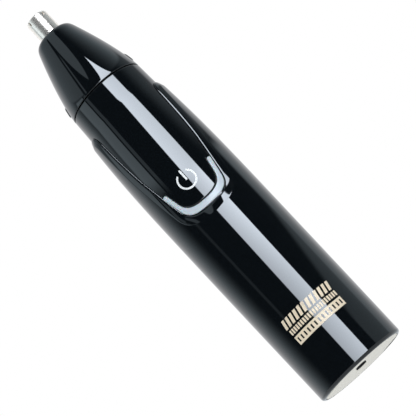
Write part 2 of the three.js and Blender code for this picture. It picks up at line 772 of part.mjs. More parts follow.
function mountScrew() {
  const underHead = MOUNT_TOP + SEAT_GAP;
  return turned(
    [
      [0, MOTOR_TOP - 1],
      [MOUNT_SCREW_RADIUS, MOTOR_TOP - 1],
      [MOUNT_SCREW_RADIUS, underHead],
      [MOUNT_SCREW_RADIUS * 2, underHead],
      [MOUNT_SCREW_RADIUS * 2, underHead + 1],
      [0, underHead + 1],
    ],
    SMALL_SIDES,
  );
}

function magnet() {
  const halfAngle = (62 * Math.PI) / 180;
  const outer = MOTOR_BORE - RUNNING_FIT;
  const shape = new THREE.Shape();
  shape.absarc(0, 0, outer, -halfAngle, halfAngle, false);
  shape.absarc(0, 0, MAGNET_BORE, halfAngle, -halfAngle, true);
  return upright(shape, MOTOR_FOOT + 4, MOTOR_TOP - 4, 10);
}

add(barrelBody, "motor_can", motorCan(), steel());
add(barrelBody, "motor_end_bell", motorEndBell(), whitePlastic());
add(barrelBody, "motor_mount", motorMount(), blackPlastic());
for (const [index, side] of [-1, 1].entries()) {
  const screw = add(barrelBody, "mount_screw_" + (index + 1), mountScrew(), steel());
  screw.position.x = side * MOUNT_SCREW_SPREAD;
  const piece = add(barrelBody, "motor_magnet_" + (index + 1), magnet(), ferrite());
  piece.rotation.z = index * Math.PI;
}
const bushing = (from, to) =>
  tube(MOTOR_SHAFT_RADIUS + BEARING_FIT, BUSHING_RADIUS, from, to, SMALL_SIDES);
add(
  barrelBody,
  "front_bushing",
  bushing(MOTOR_TOP - 1.8, MOTOR_TOP + MOTOR_BOSS_HEIGHT - 0.1),
  brass(),
);
add(barrelBody, "rear_bushing", bushing(END_BELL_FOOT + 0.2, MOTOR_FOOT + 1.2), brass());

const COMMUTATOR_FOOT = MOTOR_FOOT + 1.9;
const COMMUTATOR_HEIGHT = 2.8;
const COMMUTATOR_RADIUS = MOTOR_SHAFT_RADIUS + 1.3;
for (const [index, side] of [-1, 1].entries()) {
  const near = COMMUTATOR_RADIUS + RUNNING_FIT;
  const brush = add(
    barrelBody,
    "motor_brush_" + (index + 1),
    block([-0.9, near, COMMUTATOR_FOOT + 0.4], [0.9, near + 2.6, COMMUTATOR_FOOT + 2.2]),
    copper(),
  );
  brush.rotation.z = side > 0 ? 0 : Math.PI;
}
add(
  barrelBody,
  "shaft_seal",
  tube(
    COUPLER_RADIUS + RUNNING_FIT,
    COUPLER_RADIUS + 1.9 - SEAT_GAP,
    DECK_UNDERSIDE + 0.1,
    NECK_TOP - 0.6 - SEAT_GAP,
  ),
  rubber(),
);

function headGasket() {
  const groove = gasketGroove();
  const section = 0.45;
  const middle = groove.radius + BEARING_FIT + section;
  const loop = steps(0, 2 * Math.PI, 6)
    .slice(0, 6)
    .map((angle) => [
      middle + section * Math.cos(angle),
      groove.middle + section * Math.sin(angle),
    ]);
  return turned(loop, SHELL_SIDES);
}
add(barrelBody, "head_gasket", headGasket(), rubber());

// ---------------------------------------------------------------- barrel body: leads

const leadX = 4;
const chargeLead = (side) =>
  lead([
    [side * leadX, BOARD_FRONT - 2.2, CHARGE_BOARD_TOP + EDGE_GAP],
    [side * leadX, BOARD_FRONT - 2.6, CHARGE_BOARD_TOP + 2.8],
    [side * leadX, BOARD_FRONT - 1.9, CHARGE_BOARD_TOP + 5.2],
    [side * leadX, BOARD_FRONT - EDGE_GAP, CHARGE_BOARD_TOP + 6.6],
  ]);
const motorLead = (side) =>
  lead([
    [side * leadX, BOARD_BACK + 2.85, END_BELL_FOOT - EDGE_GAP],
    [side * leadX, BOARD_BACK + 2.45, END_BELL_FOOT - 2.2],
    [side * leadX, BOARD_BACK + 1.2, BOARD_TOP - 1],
    [side * leadX, BOARD_BACK + EDGE_GAP, BOARD_TOP - 3.4],
  ]);
const batteryLeadTop = () => {
  const front = BATTERY_Y - BATTERY_RADIUS + 0.4;
  return lead([
    [0.8, front - 0.2, BATTERY_TOP + 1.1],
    [0.8, front - 0.4, BATTERY_TOP + 2.6],
    [0.8, (front + BOARD_BACK) / 2, BATTERY_TOP + 4.4],
    [0.8, BOARD_BACK + EDGE_GAP, BATTERY_TOP + 5.6],
  ]);
};
const batteryLeadFoot = () => {
  const front = BATTERY_Y - BATTERY_RADIUS + 0.4;
  return lead([
    [0, front, BATTERY_FOOT - 1.1],
    [-0.2, front - 0.9, BATTERY_FOOT - 1.6],
    [-0.3, BOARD_BACK + 0.7, BATTERY_FOOT - 1.2],
    [-0.3, BOARD_BACK + EDGE_GAP, BATTERY_FOOT - 0.4],
  ]);
};

add(barrelBody, "charge_lead_red", chargeLead(1), redLead());
add(barrelBody, "charge_lead_black", chargeLead(-1), blackLead());
add(barrelBody, "motor_lead_red", motorLead(1), redLead());
add(barrelBody, "motor_lead_black", motorLead(-1), blackLead());
add(barrelBody, "battery_lead_red", batteryLeadTop(), redLead());
add(barrelBody, "battery_lead_black", batteryLeadFoot(), blackLead());

// ---------------------------------------------------------------- rotor body

// Three poles on one core: a drum with three winding slots.
function armature() {
  const radius = MAGNET_BORE - RUNNING_FIT - 0.2;
  const foot = MOTOR_FOOT + 6;
  const top = MOTOR_TOP - 5.5;
  const drum = tube(MOTOR_SHAFT_RADIUS + BEARING_FIT, radius, foot, top, PART_SIDES);
  const slots = [0, 1, 2].map((index) =>
    block([-0.9, radius * 0.5, foot - 1], [0.9, radius + 1, top + 1]).rotateZ(
      (index * 2 * Math.PI) / 3,
    ),
  );
  return cut(drum, ...slots);
}

const SHAFT_TOP = NECK_TOP - 3.4;
const COUPLER_FOOT = MOTOR_TOP + MOTOR_BOSS_HEIGHT + 0.6;

function driveCoupler() {
  const sleeve = turned(
    [
      [0, SHAFT_TOP + 0.4],
      [MOTOR_SHAFT_RADIUS + BEARING_FIT, SHAFT_TOP + 0.4],
      [MOTOR_SHAFT_RADIUS + BEARING_FIT, COUPLER_FOOT],
      [COUPLER_RADIUS, COUPLER_FOOT],
      [COUPLER_RADIUS, NECK_TOP],
      [0, NECK_TOP],
    ],
    SMALL_SIDES,
  );
  const half = COUPLER_RADIUS + 0.1;
  const blade = block(
    [-half, -DRIVE_BLADE_THICKNESS / 2, NECK_TOP - 0.5],
    [half, DRIVE_BLADE_THICKNESS / 2, DRIVE_TOP],
  );
  return joined(sleeve, blade);
}

add(
  rotorBody,
  "motor_shaft",
  rod(MOTOR_SHAFT_RADIUS, END_BELL_FOOT + 0.6, SHAFT_TOP, SMALL_SIDES),
  steel(),
);
add(rotorBody, "armature", armature(), copper());
add(
  rotorBody,
  "commutator",
  tube(
    MOTOR_SHAFT_RADIUS + BEARING_FIT,
    COMMUTATOR_RADIUS,
    COMMUTATOR_FOOT,
    COMMUTATOR_FOOT + COMMUTATOR_HEIGHT,
    SMALL_SIDES,
  ),
  copper(),
);
add(rotorBody, "drive_coupler", driveCoupler(), whitePlastic());

// ---------------------------------------------------------------- head body

function headCone() {
  const flank = steps(HEAD_FOOT + 0.2, NOSE_START, 6).map((z) => [headRadius(z), z]);
  const nose = new THREE.CubicBezierCurve(
    new THREE.Vector2(NOSE_RADIUS, NOSE_START),
    new THREE.Vector2(NOSE_RADIUS - 0.45, NOSE_START + 1.4),
    new THREE.Vector2(TUBE_RADIUS + 1.9, HEAD_TOP),
    new THREE.Vector2(TUBE_RADIUS + 0.3, HEAD_TOP),
  );
  const tubeHole = TUBE_RADIUS + RUNNING_FIT;
  const ceiling = TUBE_FOOT + TUBE_FLANGE_THICKNESS + SEAT_GAP;
  const inside = steps(ceiling - 0.6, INSERT_FOOT - 0.6, 3).map((z) => [headBore(z), z]);
  const shell = turned(
    [
      [headRadius(HEAD_FOOT) - 0.2, HEAD_FOOT],
      ...flank,
      ...nose.getPoints(4).slice(1).map((point) => [point.x, point.y]),
      [tubeHole, HEAD_TOP],
      [tubeHole, ceiling],
      [TUBE_RADIUS + TUBE_FLANGE + SHELL_FIT, ceiling],
      ...inside,
      [HEAD_BORE, HEAD_FOOT],
    ],
    SHELL_SIDES,
  );
  return joined(shell, gripRib(0), gripRib(Math.PI));
}

// A small raised rib low on the cone's side, leaning with the cone.
function gripRib(turn) {
  const middle = HEAD_FOOT + 4;
  const lean = Math.atan2(headRadius(middle - 2) - headRadius(middle + 2), 4);
  const depth = 1.0;
  return new THREE.BoxGeometry(depth, RIB_WIDTH, RIB_LENGTH)
    .rotateY(-lean)
    .translate(headRadius(middle) + RIB_PROUD - depth / 2, 0, middle)
    .rotateZ(turn);
}

function headInsert() {
  const sleeveRadiusOuter = TUBE_BORE + 1.3;
  const skirtTop = WEB_TOP;
  return turned(
    [
      [headBore(INSERT_FOOT) - SHELL_FIT, INSERT_FOOT],
      [headBore(skirtTop) - SHELL_FIT, skirtTop],
      [sleeveRadiusOuter, skirtTop],
      [sleeveRadiusOuter, INSERT_TOP],
      [TUBE_BORE, INSERT_TOP],
      [TUBE_BORE, WEB_TOP],
      [CUTTER_SHAFT_RADIUS + RUNNING_FIT, WEB_TOP],
      [CUTTER_SHAFT_RADIUS + RUNNING_FIT, WEB_UNDERSIDE],
      [headBore(skirtTop) - SHELL_FIT - 1.3, WEB_UNDERSIDE],
      [headBore(INSERT_FOOT) - SHELL_FIT - 1.3, INSERT_FOOT],
    ],
    PART_SIDES,
  );
}

// A capped tube with a flange inside the head and short slots over its rim.
function outerCutter() {
  const flange = TUBE_RADIUS + TUBE_FLANGE;
  const rimRound = 0.35;
  const cup = turned(
    [
      [0, TUBE_TOP - TUBE_WALL],
      [TUBE_BORE, TUBE_TOP - TUBE_WALL],
      [TUBE_BORE, TUBE_FOOT],
      [flange, TUBE_FOOT],
      [flange, TUBE_FOOT + TUBE_FLANGE_THICKNESS],
      [TUBE_RADIUS, TUBE_FOOT + TUBE_FLANGE_THICKNESS],
      [TUBE_RADIUS, TUBE_TOP - rimRound],
      [TUBE_RADIUS - rimRound * 0.3, TUBE_TOP - rimRound * 0.3],
      [TUBE_RADIUS - rimRound, TUBE_TOP],
      [0, TUBE_TOP],
    ],
    PART_SIDES,
  );
  const slots = steps(0, SLOT_COUNT - 1, SLOT_COUNT - 1).map((index) =>
    block(
      [TUBE_RADIUS * 0.35, -SLOT_WIDTH / 2, TUBE_TOP - SLOT_DEPTH],
      [TUBE_RADIUS + 1, SLOT_WIDTH / 2, TUBE_TOP + 1],
    ).rotateZ(((index + 0.5) * 2 * Math.PI) / SLOT_COUNT),
  );
  return cut(cup, ...slots);
}

add(headBody, "head_cone", headCone(), glossBlack());
add(headBody, "head_insert", headInsert(), blackPlastic());
add(headBody, "outer_cutter", outerCutter(), steel());

// ---------------------------------------------------------------- cutter body

const BLADE_RADIUS = TUBE_BORE - RUNNING_FIT;
const BLADE_FOOT = TUBE_FOOT + 0.3;
const BLADE_TOP = TUBE_TOP - TUBE_WALL - 0.2;
const BLADE_FLOOR = BLADE_FOOT + 1.6;

function innerCutter() {
  const cup = turned(
    [
      [CUTTER_SHAFT_RADIUS + BEARING_FIT, BLADE_FOOT],
      [BLADE_RADIUS, BLADE_FOOT],
      [BLADE_RADIUS, BLADE_TOP],
      [BLADE_RADIUS - BLADE_WALL, BLADE_TOP],
      [BLADE_RADIUS - BLADE_WALL, BLADE_FLOOR],
      [CUTTER_SHAFT_RADIUS + BEARING_FIT, BLADE_FLOOR],
    ],
    SMALL_SIDES,
  );
  const notch = [
    [-BLADE_RADIUS - 1, -0.8, BLADE_TOP - BLADE_NOTCH],
    [BLADE_RADIUS + 1, 0.8, BLADE_TOP + 1],
  ];
  return cut(cup, block(...notch), block(...notch).rotateZ(Math.PI / 2));
}

function cutterShaft() {
  const stem = turned(
    [
      [0, SOCKET_FOOT],
      [DRIVE_RADIUS, SOCKET_FOOT],
      [DRIVE_RADIUS, WEB_UNDERSIDE - EDGE_GAP],
      [CUTTER_SHAFT_RADIUS, WEB_UNDERSIDE - EDGE_GAP],
      [CUTTER_SHAFT_RADIUS, COLLAR_FOOT],
      [TUBE_BORE - 0.5, COLLAR_FOOT],
      [TUBE_BORE - 0.5, COLLAR_FOOT + 0.8],
      [CUTTER_SHAFT_RADIUS, COLLAR_FOOT + 0.8],
      [CUTTER_SHAFT_RADIUS, BLADE_FLOOR + 0.4],
      [0, BLADE_FLOOR + 0.4],
    ],
    SMALL_SIDES,
  );
  const half = DRIVE_BLADE_THICKNESS / 2 + 0.2;
  const slot = block(
    [-DRIVE_RADIUS - 1, -half, SOCKET_FOOT - 1],
    [DRIVE_RADIUS + 1, half, DRIVE_TOP + EDGE_GAP],
  );
  return cut(stem, slot);
}

// A compression spring round the shaft, from the insert's web up to the shaft's collar.
class SpringPath extends THREE.Curve {
  getPoint(t) {
    const angle = t * SPRING_TURNS * 2 * Math.PI;
    const radius = CUTTER_SHAFT_RADIUS + 0.4 + SPRING_WIRE_RADIUS;
    const foot = WEB_TOP + EDGE_GAP + SPRING_WIRE_RADIUS;
    const top = COLLAR_FOOT - EDGE_GAP - SPRING_WIRE_RADIUS;
    return new THREE.Vector3(
      radius * Math.cos(angle),
      radius * Math.sin(angle),
      foot + (top - foot) * t,
    );
  }
}

add(cutterBody, "inner_cutter", innerCutter(), steel());
add(cutterBody, "cutter_shaft", cutterShaft(), whitePlastic());
add(
  cutterBody,
  "cutter_spring",
  swept(new SpringPath(), SPRING_WIRE_RADIUS, SPRING_TURNS * 10, 5),
  steel(),
);

export default part;
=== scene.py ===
# %% [markdown]
# # A nose hair trimmer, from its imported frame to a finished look
#
# The frame holds the trimmer's real pieces, their joints and their places. This lesson keeps that
# frame as it is and gives every piece that can be seen a smooth skin, a material and a light to
# stand in. Sizes are written in millimetres and turned into metres where a mesh is made.

# %% Set up
import json
import math

import bpy
import numpy as np
from mathutils import Matrix, Vector


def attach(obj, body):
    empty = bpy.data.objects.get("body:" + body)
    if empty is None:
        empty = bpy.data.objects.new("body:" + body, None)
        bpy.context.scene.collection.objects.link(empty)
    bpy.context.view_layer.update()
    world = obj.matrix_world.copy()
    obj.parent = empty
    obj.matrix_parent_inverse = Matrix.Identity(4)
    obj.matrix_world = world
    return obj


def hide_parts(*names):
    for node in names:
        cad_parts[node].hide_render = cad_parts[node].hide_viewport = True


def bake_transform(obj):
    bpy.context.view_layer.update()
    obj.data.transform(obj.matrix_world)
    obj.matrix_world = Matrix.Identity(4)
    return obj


MM = 0.001

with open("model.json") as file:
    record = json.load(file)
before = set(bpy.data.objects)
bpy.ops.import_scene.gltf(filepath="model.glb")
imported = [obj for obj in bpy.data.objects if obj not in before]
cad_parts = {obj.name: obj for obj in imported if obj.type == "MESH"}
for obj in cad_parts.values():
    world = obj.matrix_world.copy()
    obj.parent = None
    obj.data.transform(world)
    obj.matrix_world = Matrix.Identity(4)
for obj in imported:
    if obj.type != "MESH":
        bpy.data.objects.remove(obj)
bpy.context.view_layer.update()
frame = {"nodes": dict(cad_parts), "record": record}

# %% [markdown]
# ## The forms that everything follows
#
# The trimmer is turned: a sleeve that swells a little, a barrel inside it, and a head that draws
# in to the cutter. Each form is one function of height, and every piece below asks these
# functions where it lies.

# %% Turned forms
SLEEVE_TOP = 103.6
SLEEVE_WALL = 0.9
BELLY = 68.0
SHOULDER = 111.8
SHOULDER_RADIUS = 12.95
HEAD_FOOT = 112.2
NOSE_START = 134.4
HEAD_TOP = 137.6
TUBE_TOP = 145.6
TUBE_RADIUS = 3.7
WINDOW_FOOT = 61.95
RING_TOP = 73.65
TONGUE_TOP = 84.55


def sleeve_radius(z):
    z = np.asarray(z, float)
    below = 15.0 + 0.4 * (1 - np.clip(1 - z / BELLY, 0, 1) ** 1.4)
    above = 15.4 - 1.15 * np.clip((z - BELLY) / (SLEEVE_TOP - BELLY), 0, 1) ** 2.4
    return np.where(z <= BELLY, below, above)


def barrel_radius(z):
    z = np.asarray(z, float)
    return sleeve_radius(np.minimum(z, SLEEVE_TOP)) - 1.0 - 0.3 * np.maximum(0, z - SLEEVE_TOP) / 8.2


def head_radius(z):
    share = np.clip((np.asarray(z, float) - HEAD_FOOT) / (NOSE_START - HEAD_FOOT), 0, 1)
    return SHOULDER_RADIUS - 5.4 * share**1.38


def cubic(a, b, c, d, count):
    t = np.linspace(0, 1, count + 1)[:, None]
    a, b, c, d = (np.array(p, float) for p in (a, b, c, d))
    return a * (1 - t) ** 3 + 3 * b * t * (1 - t) ** 2 + 3 * c * t * t * (1 - t) + d * t**3


def half_outline(start, stretches, count=24):
    """A smooth right half outline in the front view, as rows of (x, z); heights count from the window's foot."""
    points = [np.array([start], float)]
    for handle_a, handle_b, end in stretches:
        points.append(cubic(points[-1][-1], handle_a, handle_b, end, count)[1:])
    return np.vstack(points) + [0, WINDOW_FOOT]


def even(points, step):
    """The same line with its points evenly spaced, about step apart."""
    gaps = np.hypot(*np.diff(points, axis=0).T)
    at = np.concatenate([[0], np.cumsum(gaps)])
    where = np.linspace(0, at[-1], max(2, int(round(at[-1] / step)) + 1))
    return np.stack([np.interp(where, at, points[:, i]) for i in range(points.shape[1])], axis=1)


WINDOW = half_outline((0, 0), [
    ((5.0, 0), (7.7, 0.9), (8.6, 4.8)), ((9.3, 8.1), (10.1, 13.6), (11.05, 19.6)),
    ((11.7, 25.1), (12.0, 30.6), (12.2, 36.45)), ((12.35, 40.05), (12.75, 41.75), (14.0, 41.75)),
])
RING_OUTER = half_outline((0, 0.45), [
    ((4.6, 0.45), (7.0, 1.25), (8.0, 4.6)), ((8.4, 6.6), (9.05, 9.6), (9.45, 11.7)),
])
RING_INNER = half_outline((0, 2.45), [
    ((3.7, 2.45), (6.1, 3.35), (7.05, 6.4)), ((7.35, 7.8), (7.8, 10.1), (8.1, 11.7)),
])
print("window outline:", len(WINDOW), "points")
print("sleeve radius:", float(sleeve_radius(0)), "to", float(sleeve_radius(BELLY)), "mm")

# %% [markdown]
# ## Materials
#
# One function makes every material. Each has a little procedural life of its own: a faint grain
# in its gloss, a moulding texture in a plastic, a turned or drawn lay in a metal. The grain is
# read from Object coordinates, so it stays on the piece when a joint moves.

# %% Materials
def material(name, colour, roughness, metallic=0.0, grain=0.0, grain_scale=900.0, stretch=(1, 1, 1), bump=0.0,
             emission=None, emission_strength=0.0, subsurface=0.0):
    mat = bpy.data.materials.new(name)
    mat.use_nodes = True
    nodes, links = mat.node_tree.nodes, mat.node_tree.links
    shader = nodes["Principled BSDF"]
    shader.inputs["Metallic"].default_value = metallic
    shader.inputs["IOR"].default_value = 1.5
    shader.inputs["Subsurface Weight"].default_value = subsurface
    shader.inputs["Subsurface Scale"].default_value = 0.0008
    if emission:
        shader.inputs["Emission Color"].default_value = (*emission, 1)
        shader.inputs["Emission Strength"].default_value = emission_strength
    place = nodes.new("ShaderNodeTexCoord")
    scale = nodes.new("ShaderNodeMapping")
    scale.inputs["Scale"].default_value = stretch
    noise = nodes.new("ShaderNodeTexNoise")
    noise.inputs["Scale"].default_value = grain_scale
    noise.inputs["Detail"].default_value = 3.0
    links.new(place.outputs["Object"], scale.inputs["Vector"])
    links.new(scale.outputs["Vector"], noise.inputs["Vector"])
    tint = nodes.new("ShaderNodeMix")
    tint.data_type = "RGBA"
    tint.inputs["A"].default_value = (*[c * (1 - grain) for c in colour], 1)
    tint.inputs["B"].default_value = (*[min(1, c * (1 + grain)) for c in colour], 1)
    links.new(noise.outputs["Fac"], tint.inputs["Factor"])
    links.new(tint.outputs["Result"], shader.inputs["Base Color"])
    gloss = nodes.new("ShaderNodeMapRange")
    gloss.inputs["To Min"].default_value = roughness * (1 - grain)
    gloss.inputs["To Max"].default_value = roughness * (1 + grain)
    links.new(noise.outputs["Fac"], gloss.inputs["Value"])
    links.new(gloss.outputs["Result"], shader.inputs["Roughness"])
    if bump:
        relief = nodes.new("ShaderNodeBump")
        relief.inputs["Strength"].default_value = 0.3
        relief.inputs["Distance"].default_value = bump * MM
        links.new(noise.outputs["Fac"], relief.inputs["Height"])
        links.new(relief.outputs["Normal"], shader.inputs["Normal"])
    return mat


MATERIALS = {
    "gloss_black": material("gloss_black", (0.0022, 0.0034, 0.0046), 0.03, grain=0.12, grain_scale=300),
    "ice_light": material("ice_light", (0.73, 0.775, 0.80), 0.32, grain=0.02, subsurface=0.2),
    "steel": material("steel", (0.90, 0.82, 0.74), 0.22, metallic=0.72, grain=0.01, grain_scale=60,
                      stretch=(6, 6, 1)),
    "silver_satin": material("silver_satin", (0.75, 0.68, 0.58), 0.38, metallic=0.3, grain=0.06, grain_scale=700,
                             bump=0.01),
    "black_plastic": material("black_plastic", (0.02, 0.02, 0.022), 0.45, grain=0.1, grain_scale=900, bump=0.02),
    "white_plastic": material("white_plastic", (0.8, 0.79, 0.76), 0.4, grain=0.03),
    "rubber": material("rubber", (0.02, 0.02, 0.02), 0.7, grain=0.1, bump=0.02),
    "brass": material("brass", (0.6, 0.42, 0.14), 0.25, metallic=1, grain=0.08),
    "copper": material("copper", (0.55, 0.24, 0.1), 0.3, metallic=1, grain=0.08),
    "ferrite": material("ferrite", (0.05, 0.05, 0.055), 0.55, grain=0.15, bump=0.02),
    "board_green": material("board_green", (0.02, 0.15, 0.05), 0.35, grain=0.15),
    "battery_wrap": material("battery_wrap", (0.06, 0.35, 0.12), 0.22, grain=0.04),
    "lead_red": material("lead_red", (0.5, 0.02, 0.015), 0.4, grain=0.05),
    "lead_black": material("lead_black", (0.02, 0.02, 0.02), 0.4, grain=0.05),
}
# The white print carries a faint emission: a painted glow that brightens the printed power symbol, which is no
# lamp.
PRINT_WHITE_GLOW = material("print_white_glow", (0.97, 0.95, 0.92), 0.4, grain=0.01, emission=(1, 1, 1),
                       emission_strength=0.08)
PRINT_CREAM = material("print_cream", (0.95, 0.77, 0.56), 0.35, grain=0.03)

slot_of = {row["node"]: row["material_slot"] for row in frame["record"]["subparts"]}
for name, node in frame["nodes"].items():
    node.data.materials.clear()
    node.data.materials.append(MATERIALS[slot_of[name]])
print("materials:", len(MATERIALS) + 2)


# %% [markdown]
# ## Making a skin
#
# Most skins are grids of points: columns round the axis, rows up it. `grid_faces` joins
# neighbouring points into four-sided faces, and `piece` takes the exact normals of a turned form
# where it is given them, so that a highlight runs across the seam of two pieces without a step.

# %% Skin helpers
def piece(name, points, faces, slot, body=None, replaces=(), normals=None, mat=None, sharp=None):
    mesh = bpy.data.meshes.new(name)
    mesh.from_pydata((np.asarray(points) * MM).tolist(), [], [tuple(map(int, face)) for face in faces])
    mesh.validate()
    mesh.materials.append(mat or MATERIALS[slot])
    mesh.shade_smooth()
    if sharp is not None:
        mesh.set_sharp_from_angle(angle=math.radians(sharp))
    if normals is not None:
        # A zero normal means the mesh's own, which is flat on each side of a sharp edge.
        corner_vertex = [loop.vertex_index for loop in mesh.loops]
        given = np.asarray(normals, float)[corner_vertex]
        own = np.array([corner.vector[:] for corner in mesh.corner_normals])
        known = np.linalg.norm(given, axis=1, keepdims=True) > 0.5
        mesh.normals_split_custom_set(np.where(known, given, own).tolist())
    obj = bpy.data.objects.new(name, mesh)
    bpy.context.scene.collection.objects.link(obj)
    if body:
        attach(obj, body)
    if replaces:
        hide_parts(*replaces)
    return obj


def grid_faces(columns, rows, closed, offset=0):
    """Faces of a grid stored column by column, facing out as columns run round and rows run up."""
    i, j = np.meshgrid(np.arange(columns if closed else columns - 1), np.arange(rows - 1), indexing="ij")
    after = (i + 1) % columns
    quads = np.stack([i * rows + j, after * rows + j, after * rows + j + 1, i * rows + j + 1], axis=-1)
    return (quads.reshape(-1, 4) + offset).tolist()


def around(angle, radius, z):
    """Points at an angle from the front, counted towards the right, at a radius and a height."""
    angle, radius, z = np.broadcast_arrays(angle, radius, z)
    return np.stack([radius * np.sin(angle), -radius * np.cos(angle), z], axis=-1)


def lathe(profile, angles):
    """A grid that turns (radius, z) rows, given from the foot up on the outside, round the axis."""
    profile = np.asarray(profile, float)
    return around(angles[:, None], profile[None, :, 0], profile[None, :, 1])


def full_turn(count):
    return np.linspace(-math.pi, math.pi, count, endpoint=False)


def round_corner(a, corner, b, radius, count=6):
    """Points of a round of one radius at a corner between two straight edges."""
    a, corner, b = (np.array(p, float) for p in (a, corner, b))
    along_a, along_b = (a - corner) / np.linalg.norm(a - corner), (b - corner) / np.linalg.norm(b - corner)
    half = math.acos(np.clip(along_a @ along_b, -1, 1)) / 2
    reach = radius / math.tan(half)
    start, end = corner + along_a * reach, corner + along_b * reach
    middle = corner + (along_a + along_b) / np.linalg.norm(along_a + along_b) * radius / math.sin(half)
    from_angle, to_angle = (math.atan2(*(p - middle)[::-1]) for p in (start, end))
    turn = (to_angle - from_angle + math.pi) % (2 * math.pi) - math.pi
    angles = from_angle + turn * np.linspace(0, 1, count + 1)
    return middle + radius * np.stack([np.cos(angles), np.sin(angles)], axis=1)


def rounded(profile, radii, count=6):
    """A profile of corners, each rounded by its own radius; 0 keeps a corner as it is."""
    rows = [np.array([profile[0]], float)]
    for i in range(1, len(profile) - 1):
        if radii[i]:
            rows.append(round_corner(profile[i - 1], profile[i], profile[i + 1], radii[i], count))
        else:
            rows.append(np.array([profile[i]], float))
    rows.append(np.array([profile[-1]], float))
    return np.vstack(rows)


# %% [markdown]
# ## The sleeve and its rolled window edge
#
# The sleeve's columns stand on its foot and end on the window's edge, or on the sleeve's top
# where there is no window. Near the edge the surface rolls inwards: two tables of tilt against
# the distance to the edge say how fast it drops. The roll is steep under the window's foot and
# shallow along the two arms, and the tilt also gives each point its exact normal.

# %% Sleeve
ROLL_REACH = 3.0
ROLL_DEPTH = 0.86
GIRTH = 15.0
ROLL_AT = np.linspace(0, ROLL_REACH, 601)
STEEP_TILT = np.interp(ROLL_AT, [0, 0.15, 0.4, 2.3, 2.55, 3.0], [70, 40, 20, 17.5, 0, 0])
SHALLOW_TILT = np.interp(ROLL_AT, [0, 0.06, 0.3, 0.5, 2.0, 2.3, 3.0], [75, 50, 36, 17, 14, 0, 0])


def roll(distance, steep):
    """How far the surface has dropped at a distance from its edge, and how fast it climbs there."""
    drop, climb = 0.0, 0.0
    for tilt, weight in ((SHALLOW_TILT, 1 - steep), (STEEP_TILT, steep)):
        slope = np.tan(np.radians(tilt))
        step = ROLL_AT[1]
        fall = np.concatenate([np.cumsum((slope[1:] + slope[:-1])[::-1])[::-1] * step / 2, [0]])
        share = min(1, ROLL_DEPTH / fall[0])
        drop = drop + weight * np.interp(distance, ROLL_AT, fall * share)
        climb = climb + weight * np.interp(distance, ROLL_AT, slope * share)
    return drop, climb


def window_edge():
    """The sleeve's upper edge from the front's middle to the back's middle, as (distance round, z)."""
    angle = np.arcsin(np.clip(WINDOW[:, 0] / sleeve_radius(WINDOW[:, 1]), -1, 1))
    edge = np.stack([angle * GIRTH, np.minimum(WINDOW[:, 1], SLEEVE_TOP)], axis=1)
    edge = even(edge[: int(np.argmax(WINDOW[:, 1] >= SLEEVE_TOP)) + 1], 0.2)
    back = np.linspace(edge[-1, 0], math.pi * GIRTH, 90)[1:]
    return np.vstack([edge, np.stack([back, np.full(len(back), SLEEVE_TOP)], axis=1)])


def nearest_on(line, points):
    """The distance from each point to a line of short segments, and the direction away from it."""
    start, along = line[:-1], np.diff(line, axis=0)
    distances, directions = [], []
    for block in np.array_split(points, max(1, len(points) // 1500)):
        reach = ((block[:, None] - start) * along).sum(-1) / (along**2).sum(-1)
        away = block[:, None] - (start + np.clip(reach, 0, 1)[..., None] * along)
        length = np.hypot(away[..., 0], away[..., 1])
        best = length.argmin(1)
        row = np.arange(len(block))
        distances.append(length[row, best])
        directions.append(away[row, best] / np.maximum(length[row, best], 1e-9)[:, None])
    return np.concatenate(distances), np.concatenate(directions)


